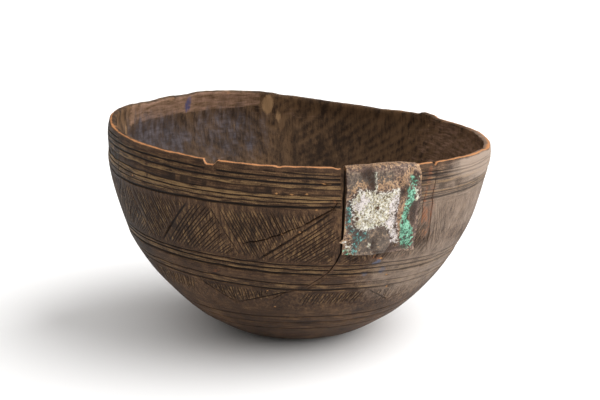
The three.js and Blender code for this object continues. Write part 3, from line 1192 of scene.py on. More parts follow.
class Bench:
    """Small jobs that every piece needs."""

    @staticmethod
    def select(piece: bpy.types.Object) -> None:
        """Selects one object and nothing else."""
        bpy.ops.object.select_all(action="DESELECT")
        bpy.context.view_layer.objects.active = piece
        piece.select_set(True)

    @staticmethod
    def write_marks(mesh: bpy.types.Mesh, marks: Marks) -> None:
        """Keeps marks on a mesh, each as a number at every point."""
        for name, values in marks.items():
            layer = mesh.attributes.new(name, "FLOAT", "POINT")
            layer.data.foreach_set("value", values)

    @staticmethod
    def face_outwards(piece: bpy.types.Object) -> None:
        """Turns every face of a piece the same way out."""
        Bench.select(piece)
        bpy.ops.object.mode_set(mode="EDIT")
        bpy.ops.mesh.select_all(action="SELECT")
        bpy.ops.mesh.normals_make_consistent(inside=False)
        bpy.ops.object.mode_set(mode="OBJECT")

    @staticmethod
    def pick_facing(piece: bpy.types.Object, way: Vector) -> None:
        """In edit mode, selects the faces of a piece that look one way, and nothing else."""
        bpy.ops.mesh.select_mode(type="FACE")
        bpy.ops.mesh.select_all(action="DESELECT")
        bpy.ops.object.mode_set(mode="OBJECT")
        for face in piece.data.polygons:
            face.select = face.normal.dot(way) > 0.99
        bpy.ops.object.mode_set(mode="EDIT")


# --------------------------------------------------------------------------- finishes


class Value:
    """What one socket gives over a surface, in sums that add their own nodes."""

    def __init__(self, recipe: "Recipe", socket: bpy.types.NodeSocket) -> None:
        """Wraps a socket of a recipe."""
        self.recipe = recipe
        self.socket = socket

    def _join(self, operation: str, *terms: "Value | float | Sequence[float]") -> "Value":
        """A Math node, or a Vector Math node where this value is a direction."""
        is_vector = self.socket.type == "VECTOR"
        kind = "VectorMath" if is_vector else "Math"
        inputs = {
            number: (term,) * 3 if is_vector and isinstance(term, (int, float)) else term
            for number, term in enumerate(terms)
        }
        return self.recipe.node(kind, {"operation": operation}, inputs)

    def __add__(self, other: "Value | float") -> "Value":
        """The sum."""
        return self._join("ADD", self, other)

    __radd__ = __add__

    def __mul__(self, other: "Value | float | Sequence[float]") -> "Value":
        """The product."""
        return self._join("MULTIPLY", self, other)

    def __sub__(self, other: "Value | float") -> "Value":
        """The difference."""
        return self._join("SUBTRACT", self, other)

    def __rsub__(self, other: float) -> "Value":
        """The difference, the other way round."""
        return self._join("SUBTRACT", other, self)

    def highest(self, other: "Value | float") -> "Value":
        """The greater of the two."""
        return self._join("MAXIMUM", self, other)

    def step(self, low: float, high: float) -> "Value":
        """A soft step from 0 at low to 1 at high."""
        limits = {"Value": self, "From Min": low, "From Max": high}
        return self.recipe.node("MapRange", {"interpolation_type": "SMOOTHSTEP"}, limits)

    def between(self, first: "Value | Colour", second: "Value | Colour") -> "Value":
        """A colour between two colours, by this share."""
        inputs = {0: self, 6: first, 7: second}
        return self.recipe.node("Mix", {"data_type": "RGBA"}, inputs, 2)

    def times(self, share: "Value | float") -> "Value":
        """This colour, darkened or lightened by a number."""
        inputs = {0: self, "Scale": share}
        return self.recipe.node("VectorMath", {"operation": "SCALE"}, inputs)

    def ramp(self, *stops: tuple[float, Colour]) -> "Value":
        """A colour from a ramp of stops, each a place from 0 to 1 and a colour."""
        return self.recipe.node("ValToRGB", {"stops": stops}, {0: self})


class Recipe:
    """A material in the making. Its shade holds every colour a little under its chip."""

    SHADE = 0.88

    def __init__(self, name: str) -> None:
        """Starts an empty material with its shader."""
        self.material = bpy.data.materials.new(name)
        self.material.use_nodes = True
        self.tree = self.material.node_tree
        self.shader = self.tree.nodes["Principled BSDF"]
        self.place = self.node("TexCoord", output="Object")

    def node(
        self,
        kind: str,
        settings: dict[str, object] | None = None,
        inputs: dict[int | str, object] | None = None,
        output: int | str = 0,
    ) -> Value:
        """Adds any node.

        Args:
            kind: the node's type, without its first word.
            settings: its properties, or the stops of a ramp.
            inputs: the values or links of its sockets.
            output: the socket that is wanted.

        Returns:
            The value of that socket.
        """
        made = self.tree.nodes.new("ShaderNode" + kind)
        for name, setting in (settings or {}).items():
            if name == "stops":
                self._set_stops(made.color_ramp, setting)
            else:
                setattr(made, name, setting)
        for name, value in (inputs or {}).items():
            self._feed(made.inputs[name], value)
        return Value(self, made.outputs[output])

    @staticmethod
    def _set_stops(ramp: bpy.types.ColorRamp, stops: Sequence[tuple[float, Colour]]) -> None:
        """Gives a ramp its stops."""
        while len(ramp.elements) < len(stops):
            ramp.elements.new(1)
        for element, (place, shade) in zip(ramp.elements, stops):
            element.position = place
            element.color = (*shade, 1)

    def _feed(self, socket: bpy.types.NodeSocket, value: object) -> None:
        """Links a value to a socket, or sets the socket."""
        if isinstance(value, Value):
            self.tree.links.new(value.socket, socket)
        elif socket.type == "RGBA" and len(value) == 3:
            socket.default_value = (*value, 1)
        else:
            socket.default_value = value

    def mark(self, name: str) -> Value:
        """A number that the mesh carries at its points."""
        return self.node("Attribute", {"attribute_name": name}, output="Fac")

    def cloud(
        self,
        size: float,
        detail: float = 3,
        rough: float = 0.55,
        stretch: Sequence[float] = (1, 1, 1),
        place: Value | None = None,
    ) -> Value:
        """Soft noise from 0 to 1.

        Args:
            size: the size of its lumps, in millimetres.
            detail: how many finer layers it has.
            rough: how strong they are.
            stretch: how many times finer it is along each axis.
            place: where it is read, or the object's own place.

        Returns:
            The noise.
        """
        spot = (place or self.place) * tuple(share / (size * MM) for share in stretch)
        inputs = {"Vector": spot, "Scale": 1, "Detail": detail, "Roughness": rough}
        return self.node("TexNoise", None, inputs)

    def specks(self, size: float, place: Value | None = None) -> Value:
        """The distance from scattered specks, from 0 at their middles."""
        spot = (place or self.place) * (1 / (size * MM))
        return self.node("TexVoronoi", None, {"Vector": spot, "Scale": 1})

    def relief(self, height: Value, depth: float, strength: float = 1) -> None:
        """Raises the surface by a height from 0 to 1, in millimetres."""
        inputs = {"Height": height, "Distance": depth * MM, "Strength": strength}
        self._feed(self.shader.inputs["Normal"], self.node("Bump", None, inputs))

    def finish(self, **sockets: object) -> bpy.types.Material:
        """Sets the shader's sockets, by their names in small letters, and gives the material."""
        sockets["base_color"] = sockets["base_color"].times(self.SHADE)
        for name, value in sockets.items():
            title = name.replace("_", " ").title().replace("Ior", "IOR")
            self._feed(self.shader.inputs[title], value)
        return self.material


@dataclass(frozen=True)
class WoodFinish:
    """Old carved hardwood: dark, dry and handled, bare and orange where the rim is worn."""

    deep: Colour = colour(38, 25, 16)
    brown: Colour = colour(74, 53, 37)
    light: Colour = colour(122, 92, 64)
    weathered_and_highlight: Colour = colour(150, 132, 117)
    groove: Colour = colour(20, 14, 10)
    rubbed: Colour = colour(138, 110, 74)
    worn: Colour = colour(184, 128, 84)
    raw: Colour = colour(172, 126, 80)
    rust: Colour = colour(138, 80, 48)
    tan: Colour = colour(168, 134, 98)
    inside_dark: Colour = colour(58, 44, 34)
    inside_brown: Colour = colour(122, 94, 68)
    inside_pale: Colour = colour(164, 130, 110)
    # Blue-grey lining colours: pigment residue, and in the paler one a painted sheen.
    blue: Colour = colour(60, 57, 62)
    painted_sheen: Colour = colour(106, 100, 106)
    ink: Colour = colour(62, 76, 130)
    slate: Colour = colour(90, 94, 110)
    roughness: float = 0.54

    def make(self) -> bpy.types.Material:
        """Builds the wood's material."""
        wood = Recipe("old_carved_wood")
        names = ("groove", "bare", "inside", "worn", "lip", "turned", "gouge")
        mark = {name: wood.mark(name) for name in names}
        mark |= {tint.value: wood.mark(tint.value) for tint in Tint}
        patches = wood.cloud(55, 3)
        blotches = wood.cloud(11, 4, 0.62, (1, 1, 0.5))
        fibres = wood.cloud(2.2, 4, 0.68, (1, 1, 0.09))
        rings = wood.cloud(16, 4, 0.7, (1, 1, 11), self._level(wood))
        dust = wood.cloud(0.9, 3, 0.75)
        lines = mark["turned"].step(0, 0.9) * (rings - fibres) + fibres
        grain = lines * 0.6 + dust * 0.4
        tone = patches * 0.35 + blotches * 0.4 + grain * 1.35 - 0.57
        skin = tone.ramp((0.3, self.deep), (0.5, self.brown), (0.72, self.light))
        # Grey where the pale stains lie: weathering, and on the outer right side a painted
        # highlight where the wall faces the light.
        pale = (mark["pale"] + grain * 1.2 + blotches * 0.5 - 1.25).step(0, 0.8)
        skin = pale.between(skin, self.weathered_and_highlight)
        # Darker where the shade-and-darkening ovals lie: painted shade on the outer left side,
        # darker patches low on the wall.
        skin = (mark["shade_and_darkening"] * 0.6).between(skin, self.deep)
        rust = (mark["rust"] + grain * 2.2 + blotches * 0.8 - 1.95).step(0, 0.55)
        skin = rust.between(skin, self.rust)
        skin = (mark["tan"] + grain * 0.9 - 1.0).step(0, 0.4).between(skin, self.tan)
        skin = (mark["blue"] + grain * 1.3 - 1.1).step(0, 0.4).between(skin, self.slate)
        lining = self._lining(wood, mark, tone, blotches, grain)
        base = mark["inside"].step(0.35, 0.65).between(skin, lining)
        kept = 1 - mark["pale"].step(0.2, 1.4) * 0.6
        groove = (mark["groove"] * kept * (0.3 + lines * 1.2)).step(0, 1)
        base = groove.between(base, self.groove)
        rubbed = (mark["lip"] + lines * 1.9 + dust * 0.8 - 1.75).step(0, 0.6) * kept * 0.78
        base = rubbed.between(base, self.rubbed)
        edge = (mark["worn"] * 1.4 + dust * 1.3 + blotches * 1.6 - 2.0).step(0, 0.5)
        base = edge.between(base, self.worn)
        base = (mark["bare"] + grain - 0.95).step(0, 0.3).between(base, self.raw)
        wood.relief(lines * 0.65 + dust * 0.35, 0.75, 0.9)
        rough = self.roughness + dust * 0.3 - 0.1
        return wood.finish(base_color=base, roughness=rough, specular_ior_level=0.14)

    @staticmethod
    def _level(wood: Recipe) -> Value:
        """The place, levelled along the rings, which lean with the rim."""
        axes = {name: wood.node("SeparateXYZ", None, {0: wood.place}, name) for name in "XYZ"}
        raised = {0: axes["X"], 1: axes["Y"], 2: axes["Z"] + axes["X"] * 0.06}
        return wood.node("CombineXYZ", None, raised)

    def _lining(
        self, wood: Recipe, mark: dict[str, Value], tone: Value, blotches: Value, grain: Value
    ) -> Value:
        """The colour of the inner face: darker in patches, stained with old pigment and ink, and
        with a painted blue-grey sheen on its left.
        """
        streaks = wood.cloud(7, 4, 0.65, (1, 1, 0.3))
        tone = tone + streaks + mark["gouge"] * 0.4 - 0.65
        lining = tone.ramp((0.3, self.inside_dark), (0.74, self.inside_brown))
        scraped = wood.cloud(16, 4, 0.7, (1, 1, 6))
        scuffed = scraped * 0.6 + grain * 0.4
        scuffed = scuffed.ramp((0.38, self.inside_brown), (0.62, self.inside_pale))
        lining = (mark["pale"] + scraped * 1.8 - 1.25).step(0, 0.8).between(lining, scuffed)
        # Blue-grey on the left of the inside: old pigment residue, with a painted sheen where that
        # wall faces the light.
        residue_and_sheen_mask = mark["blue"] + blotches * 1.2 + streaks * 1.2 + mark["gouge"] * 0.2 - 1.6
        residue_and_sheen = streaks * 0.6 + scraped * 0.4
        residue_and_sheen = residue_and_sheen.ramp((0.36, self.inside_dark), (0.5, self.blue), (0.66, self.painted_sheen))
        lining = (residue_and_sheen_mask.step(0, 0.9) * 0.9).between(lining, residue_and_sheen)
        lining = (mark["ink"] + grain * 0.8 - 0.9).step(0, 0.4).between(lining, self.ink)
        tan = (mark["tan"] + grain * 0.9 + streaks * 0.4 - 1.1).step(0, 0.4)
        lining = tan.between(lining, self.tan)
        # Darker patches of the inner wall.
        return (mark["shade_and_darkening"] * 0.5).between(lining, self.deep)


class Paint(Enum):
    """What covers a part of the tin, with a painted highlight and painted shade among it; the value
    is the name of the mesh attribute for it.
    """

    CREAM_AND_HIGHLIGHT = "cream_and_highlight"
    GREEN = "green"
    TEAL = "teal"
    RUST = "rust"
    GREY = "grey"
    FOLD = "fold"
    CHALK = "chalk"


@dataclass(frozen=True)
class TinFinish:
    """A piece of an old painted tin: flaking paint in layers over stained bare metal, with painted
    shade in its dent and notch and a painted highlight on the dent's lip.
    """

    umber: Colour = colour(64, 47, 38)
    metal: Colour = colour(110, 86, 73)
    metal_light: Colour = colour(168, 143, 124)
    grey: Colour = colour(84, 80, 70)
    cream_and_highlight: Colour = colour(216, 205, 168)
    cream_old: Colour = colour(166, 144, 98)
    white: Colour = colour(236, 232, 222)
    mint: Colour = colour(178, 190, 152)
    chalk: Colour = colour(222, 210, 212)
    crack: Colour = colour(66, 52, 38)
    green: Colour = colour(72, 142, 110)
    green_dark: Colour = colour(30, 50, 40)
    green_pale: Colour = colour(142, 206, 176)
    teal: Colour = colour(52, 76, 74)
    teal_light: Colour = colour(104, 168, 160)
    # The rust is held near black, so that it also carries painted shade in the dent's trough and
    # the notch's hollow.
    rust: Colour = colour(24, 15, 10)
    rust_light: Colour = colour(82, 54, 36)
    tan: Colour = colour(184, 152, 116)
    warm: Colour = colour(166, 128, 92)

    def make(self) -> bpy.types.Material:
        """Builds the tin's material."""
        tin = Recipe("old_painted_tin")
        mark = {paint.value: tin.mark(paint.value) for paint in Paint}
        across, down = tin.mark("across"), tin.mark("down")
        leaning = {0: (across + down) * 0.0011, 1: (across - down) * 0.00022}
        slant = tin.node("CombineXYZ", None, leaning)
        broad = tin.cloud(11, 4, 0.65)
        flakes = tin.cloud(4.6, 5, 0.74)
        fine = tin.cloud(2.1, 3, 0.7)
        scratch = tin.cloud(1.6, 4, 0.7, (1, 1, 1), slant)
        grit = (flakes * 0.55 + fine * 0.45).step(0.38, 0.62)
        crumbs = (fine * 0.55 + scratch * 0.25 + flakes * 0.2).step(0.4, 0.6)
        bend = flakes * 0.6 + broad * 0.4 - 0.5
        seams = (bend * bend).step(0.0007, 0.0)
        dots = tin.specks(3.1).step(0.3, 0.16) * (broad * 0.5 + fine * 0.5).step(0.47, 0.53)

        def cover(paint: Paint, raggedness: float = 1.0, strength: float = 1.0) -> Value:
            """The crumbling mask of a paint, which stays inside the paint's own areas."""
            area = mark[paint.value]
            torn = (grit * 0.55 + crumbs * 0.45 - 0.5) * raggedness
            return (area + torn).step(0.38, 0.62) * area.step(0, 0.15) * strength

        stain = broad * 0.5 + grit * 0.25 + crumbs * 0.25
        bare = stain.ramp((0.25, self.umber), (0.5, self.metal), (0.78, self.metal_light))
        bare = cover(Paint.GREY, 1, 0.5).between(bare, self.grey)
        bare = ((fine * 0.8 + scratch * 0.4).step(0.65, 0.74) * 0.6).between(bare, self.tan)
        worn = stain.ramp((0.25, self.metal), (0.48, self.warm), (0.8, self.tan))
        bare = (cover(Paint.FOLD, 1.4, 0.9) * (0.45 + crumbs * 0.55)).between(bare, worn)
        teal = stain.ramp((0.4, self.umber), (0.55, self.teal), (0.7, self.teal_light))
        base = cover(Paint.TEAL, 1.4, 0.95).between(bare, teal)
        layers = broad * 0.35 + flakes * 0.3 + crumbs * 0.35
        cream_and_highlight = layers.ramp((0.26, self.cream_old), (0.42, self.cream_and_highlight), (0.6, self.white))
        cream_and_highlight = (broad.step(0.56, 0.64) * 0.4).between(cream_and_highlight, self.mint)
        cream_and_highlight = cover(Paint.CHALK, 1.6, 0.7).between(cream_and_highlight, self.chalk)
        holes = (seams * 0.8).highest(dots).highest(((1 - grit) * (1 - crumbs)).step(0.35, 0.95))
        cream_and_highlight = (holes * 0.8).between(cream_and_highlight, self.crack)
        # The cream paint, which also draws a painted highlight along the dent's lip.
        base = cover(Paint.CREAM_AND_HIGHLIGHT, 1.25, 0.96).between(base, cream_and_highlight)
        green = stain.ramp((0.34, self.green_dark), (0.48, self.green), (0.66, self.green_pale))
        green = (holes * 0.6).between(green, self.green_dark)
        base = cover(Paint.GREEN, 1.5, 0.95).between(base, green)
        # Rust areas, which also carry painted shade in the dent's trough and the notch's hollow.
        hollow = crumbs.between(self.rust, self.rust_light)
        hollow = (grit * 0.5).between(hollow, self.rust)
        base = cover(Paint.RUST, 1.5, 0.92).between(base, hollow)
        painted = cover(Paint.CREAM_AND_HIGHLIGHT).highest(cover(Paint.GREEN))
        tin.relief(painted * 0.4 + grit * 0.35 + crumbs * 0.25, 0.75, 0.95)
        rough = 0.4 + painted * 0.22 + grit * 0.16
        return tin.finish(base_color=base, roughness=rough, metallic=(1 - painted) * 0.3)


@dataclass(frozen=True)
class IronFinish:
    """Rusty tack iron."""

    dark: Colour = colour(58, 46, 38)
    rust: Colour = colour(104, 76, 54)
    worn: Colour = colour(172, 160, 134)

    def make(self) -> bpy.types.Material:
        """Builds the iron's material."""
        iron = Recipe("rusty_iron")
        broad = iron.cloud(1.6, 4, 0.65)
        fine = iron.cloud(0.5, 3, 0.7)
        tone = broad * 0.6 + fine * 0.4
        base = tone.ramp((0.4, self.dark), (0.52, self.rust), (0.66, self.worn))
        iron.relief(broad * 0.5 + fine * 0.5, 0.15, 0.8)
        return iron.finish(base_color=base, roughness=0.55 + fine * 0.25, metallic=0.5)


# --------------------------------------------------------------------------- the tin patch


class Patchwork:
    """A painted area of the tin: its outline, across from the left edge and down from the rim."""

    def __init__(self, softness: float, *outline: Plane) -> None:
        """Takes the softness of the edge, in millimetres, and the corners in order."""
        self.softness = softness
        self.outline = outline

    def at(self, across: float, down: float) -> float:
        """1 well inside the outline, 0.5 on it and 0 well outside."""
        nearest, is_inside = 1e9, False
        for start, end in zip(self.outline, self.outline[1:] + self.outline[:1]):
            (x0, y0), (x1, y1) = start, end
            nearest = min(nearest, along_line((across, down), start, end)[1])
            if (y0 > down) != (y1 > down) and across < x0 + (down - y0) * (x1 - x0) / (y1 - y0):
                is_inside = not is_inside
        signed = nearest if is_inside else -nearest
        return min(1.0, max(0.0, 0.5 + signed / (2 * self.softness)))


@dataclass
class TinPatch:
    """The mending patch: one sheet, dented and torn, folded over the rim across the split."""

    wall: Wall
    gap: float = 0.45
    thickness: float = 0.7
    left: tuple[float, float] = (12.5, 12.3)
    right: tuple[float, float] = (33.7, 35.7)
    down_outside: float = 73.5
    down_inside: float = 30.0
    over_rim: float = 9.5
    cell: float = 0.95
    width: float = 71
    cut_width: float = 70
    creases: tuple[tuple[Plane, Plane], ...] = (
        ((46, 9), (52.5, 21.5)),
        ((60.5, 9), (53, 21.5)),
        ((40, 16), (52.5, 21)),
    )
    AREAS: ClassVar[dict[Paint, tuple[Patchwork, ...]]] = {
        Paint.CREAM_AND_HIGHLIGHT: (
            Patchwork(
                2.4, (4.5, 24), (10, 17), (20, 15.5), (29, 19), (38, 18.5), (46, 17),
                (51.5, 20), (49, 28), (47, 36), (47, 46), (50, 57), (51.5, 66), (47.5, 67),
                (44.5, 59), (41, 52), (36, 47.5), (26, 50), (17, 52), (8, 48.5), (7.5, 38),
                (5.5, 30),
            ),
            Patchwork(1.2, (64.4, 16), (67.5, 18), (67.5, 29), (65, 29.5), (64.4, 24)),
            Patchwork(0.8, (23, 63), (26, 63), (25, 68), (23, 67.5)),
            # A painted highlight along the raised lip of the dent, drawn in the cream paint.
            Patchwork(1.3, (24.8, 2), (26.6, 2), (26.8, 15), (25, 17)),
            Patchwork(2.2, (61, 61), (65, 60), (66, 66), (62, 67)),
            Patchwork(2.4, (3, 63), (6.5, 62), (7.5, 69), (4, 72)),
        ),
        Paint.FOLD: (
            Patchwork(1, (-1, 34), (0.6, 35), (0.8, 44), (1, 56), (-1, 58)),
            Patchwork(4, (-1, 60), (6, 57), (10, 61), (10, 70), (6, 78), (-1, 78)),
            Patchwork(
                1.3, (-2, -12), (73, -12), (73, -4), (50, -2), (30, -1.2), (8, -0.5), (-2, -1),
            ),
            Patchwork(1, (66, -2), (71, -3), (71, 12), (69, 10), (68, 2)),
            Patchwork(3.5, (48, 8), (56, 3), (62, 1), (61, 9), (55, 15), (50, 16)),
            Patchwork(5, (12, 11), (21, 10), (21, 16), (13, 17)),
            Patchwork(6, (28, 10), (44, 10), (44, 16), (29, 16)),
            Patchwork(4, (3, 15), (9, 14), (9, 20), (4, 21)),
            Patchwork(3, (49, 26), (55, 20), (54, 36), (52, 64), (50, 60), (48, 40)),
        ),
        Paint.CHALK: (
            Patchwork(
                2, (42, 24), (50, 20), (50, 36), (49, 50), (51, 67), (46, 64), (42, 50),
                (38, 46),
            ),
            Patchwork(3, (8, 27), (15, 20), (20, 24), (14, 34), (8, 36)),
            Patchwork(0.7, (36, 74), (50, 73), (60, 72.5), (60, 74), (40, 75)),
        ),
        Paint.GREEN: (
            Patchwork(
                1.8, (56, 17), (63, 15.5), (64.5, 22), (64, 29), (61.5, 34), (60, 40),
                (60.5, 46), (63.5, 51), (67, 57), (68, 68), (62, 71), (56, 70), (54, 60),
                (53, 50), (54, 42), (56.5, 32), (57.5, 25),
            ),
            Patchwork(2.4, (61, 7), (67, 8), (67, 13), (61, 14)),
            Patchwork(2, (2, 70), (5, 70), (6, 76), (3, 76)),
        ),
        Paint.TEAL: (
            Patchwork(
                1.2, (3, 24), (6.5, 28), (6, 36), (4, 43), (1.5, 45), (0.6, 37), (1.5, 30),
            ),
            Patchwork(
                2.2, (9, 55), (14, 51), (20, 52), (21, 57), (15, 60), (13, 66), (11, 72),
                (7, 71),
            ),
            Patchwork(1.6, (2, 47), (9, 48), (17, 50), (12, 54), (4, 53)),
        ),
        Paint.GREY: (
            Patchwork(3, (14, 54), (28, 50), (40, 50), (45, 62), (44, 76), (12, 76)),
            Patchwork(3, (0, 2), (24, 1), (44, 2), (44, 14), (24, 12), (0, 20)),
        ),
        Paint.RUST: (
            Patchwork(1, (25.5, 60), (28, 58), (29, 62), (28.5, 68), (26.5, 69)),
            Patchwork(
                0.9, (28, 71.5), (40, 70.5), (52, 69.5), (62, 69), (62, 71), (46, 71.6),
                (30, 73),
            ),
            Patchwork(1, (38, 72), (43, 70), (46, 65), (47.5, 67), (45, 71.5), (40, 74)),
            # Near-black rust in the notch at the right edge, which also paints the shade of its
            # hollow.
            Patchwork(
                1.1, (63, 29), (67, 27.5), (69, 34), (68, 45), (65, 51), (62.5, 46), (62.2, 36),
            ),
            Patchwork(1.6, (54, 12), (57, 15), (53, 24), (50, 22)),
            # Dark rust along the dent's trough, which also paints the shade down its right side.
            Patchwork(3, (15, -2), (23.5, -1), (24.5, 9), (22.5, 15), (20, 9), (15, 4)),
        ),
    }

    def sheet_spot(self, angle: float, down: float, proud: float) -> Vector:
        """A point over the wood, in metres.

        Args:
            angle: its place round the bowl.
            down: the length of sheet below the rim's outer edge, or negative past it.
            proud: how far it stands out from the wood.

        Returns:
            The point.
        """
        wall, gap = self.wall, self.gap + proud
        edge = wall.rim(angle) - wall.rounding
        if down >= 0:
            return wall.outer_spot(angle, wall.outer.climb_at(edge) - down, gap)
        into = -down - self.over_rim
        if into >= 0:
            return wall.inner_spot(angle, wall.inner.climb_at(edge) - into, gap)
        swing = math.pi * -down / self.over_rim
        low = wall.outer_spot(angle, wall.outer.climb_at(edge), gap)
        high = wall.inner_spot(angle, wall.inner.climb_at(edge), gap)
        spot = low.lerp(high, (1 - math.cos(swing)) / 2)
        spot.z += (wall.rounding + gap) * math.sin(swing) * MM
        return spot

    def edge_shift(self, across: float, down: float) -> float:
        """How far a place is pulled sideways by the torn and notched edges, in millimetres."""
        share = across / self.width
        notch = -1.8 * smooth_step(29, 36, down) * smooth_step(52, 40, down)
        notch -= 1.2 * hump(down, 12, 5)
        notch += 1.3 * hump(down, 24, 6)
        ragged = 0.8 * noise.noise(Vector((7, down / 7, 2)))
        ragged += 0.3 * noise.noise(Vector((3, down / 2, 2)))
        right = (notch + ragged) * smooth_step(0.72, 1, share)
        tab = -3.4 * hump(down, 61.5, 1.3) + 0.5 * noise.noise(Vector((1, down / 6, 5)))
        return right + tab * smooth_step(0.1, 0, share)

    def proud_at(self, across: float, down: float) -> float:
        """How far the dented sheet stands off the wood at a place, in millimetres."""
        spot = Vector((across, down, 0))
        proud = 0.45 + 0.5 * noise.noise(spot / 15) + 0.2 * noise.noise(spot / 5)
        proud += 1.9 * hump(across, 37, 27) * smooth_step(-12, -6, down) * smooth_step(8, 0, down)
        if down < -2:
            return max(proud, 0.1)
        proud += self._top_dents(across, down) + self._lower_dents(across, down)
        return max(proud, 0.05)

    def _top_dents(self, across: float, down: float) -> float:
        """The bulge under the fold, its trough and creases, and the curled right corner."""
        proud = 2.1 * smooth_step(26, 14, down)
        trough = hump(across, 17.5, 6.5) * smooth_step(20, 12, down) * smooth_step(-2, 3, down)
        lip = hump(across, 25.8, 1.7) * smooth_step(19, 12, down) * smooth_step(0, 4, down)
        proud += 1.8 * lip - 2.6 * trough
        for start, end in self.creases:
            share, off = along_line((across, down), start, end)
            proud -= 1.5 * hump(off, 0, 1.5) * (0.4 + 0.6 * share)
        proud += 1.8 * hump(across, 55, 5) * hump(down, 10, 6)
        corner = smooth_step(60, 72, across) * smooth_step(16, 6, down) * smooth_step(-1, 4, down)
        dip = hump(across, 63.5, 2) * smooth_step(20, 10, down) * smooth_step(-2, 3, down)
        return proud + 2.2 * corner - 1.2 * dip

    def _lower_dents(self, across: float, down: float) -> float:
        """The raised dome, the crease, and the edges that lift off the wood."""
        dome = math.hypot(across - 36.5, (down - 64.5) * 0.95)
        proud = 1.3 * smooth_step(8.2, 6, dome) - 0.5 * hump(dome, 9, 1.2)
        proud += 1.5 * smooth_step(self.down_outside - 4.5, self.down_outside, down)
        proud += 0.5 * hump(across - 0.25 * (down - 50), 20, 1.2) * smooth_step(46, 54, down)
        edge = smooth_step(60, 70, across) * (0.5 + 0.8 * hump(down, 42, 14))
        return proud + 0.8 * edge + 0.6 * smooth_step(4, 0, across) * hump(down, 61, 6)

    @staticmethod
    def _ragged(across: float) -> float:
        """How far the torn lower edge hangs lower at a place along it."""
        return 0.5 * noise.noise(Vector((across / 5, 0, 8)))

    def build(self) -> bpy.types.Object:
        """Makes the patch from a flat grid, laid on the wood and thickened."""
        length = self.down_outside + self.over_rim + self.down_inside
        columns, rows = round(self.cut_width / self.cell), round(length / self.cell)
        bpy.ops.object.select_all(action="DESELECT")
        bpy.ops.mesh.primitive_grid_add(x_subdivisions=columns, y_subdivisions=rows, size=1)
        patch = bpy.context.object
        patch.name = "folded_tin_patch"
        names = ["across", "down", *(paint.value for paint in Paint)]
        marks: Marks = {name: [] for name in names}
        for vertex in patch.data.vertices:
            share, run = vertex.co.x + 0.5, vertex.co.y + 0.5
            down = self.down_outside - run * length
            slant = min(1.0, max(0.0, down / self.down_outside))
            left = self.left[0] + slant * (self.left[1] - self.left[0])
            right = self.right[0] + slant * (self.right[1] - self.right[0])
            across = share * self.width
            sag = 0.9 * math.sin(share * 5.1) + 2.6 * share
            sag *= smooth_step(45, self.down_outside, down)
            sag += self._ragged(across) * smooth_step(70, self.down_outside, down)
            angle = left + share * (right - left)
            angle += math.degrees(self.edge_shift(across, down) / SPLIT_RADIUS)
            vertex.co = self.sheet_spot(angle, down + sag, self.proud_at(across, down))
            marks["across"].append(across)
            marks["down"].append(down)
            for paint in Paint:
                marks[paint.value].append(max(area.at(across, down) for area in self.AREAS[paint]))
        Bench.write_marks(patch.data, marks)
        Bench.face_outwards(patch)
        spots = [vertex.co for vertex in patch.data.vertices]
        centre = sum(spots, Vector()) / len(spots)
        middle = min(patch.data.polygons, key=lambda face: (face.center - centre).length)
        outward = Vector((middle.center.x, middle.center.y, 0))
        if middle.normal.dot(outward) < 0:
            patch.data.flip_normals()
        thick = patch.modifiers.new("thickness", "SOLIDIFY")
        thick.thickness = self.thickness * MM
        thick.offset = 1
        thick.use_even_offset = True
        bpy.ops.object.modifier_apply(modifier=thick.name)
        bpy.ops.object.shade_smooth_by_angle(angle=math.radians(40))
        return patch


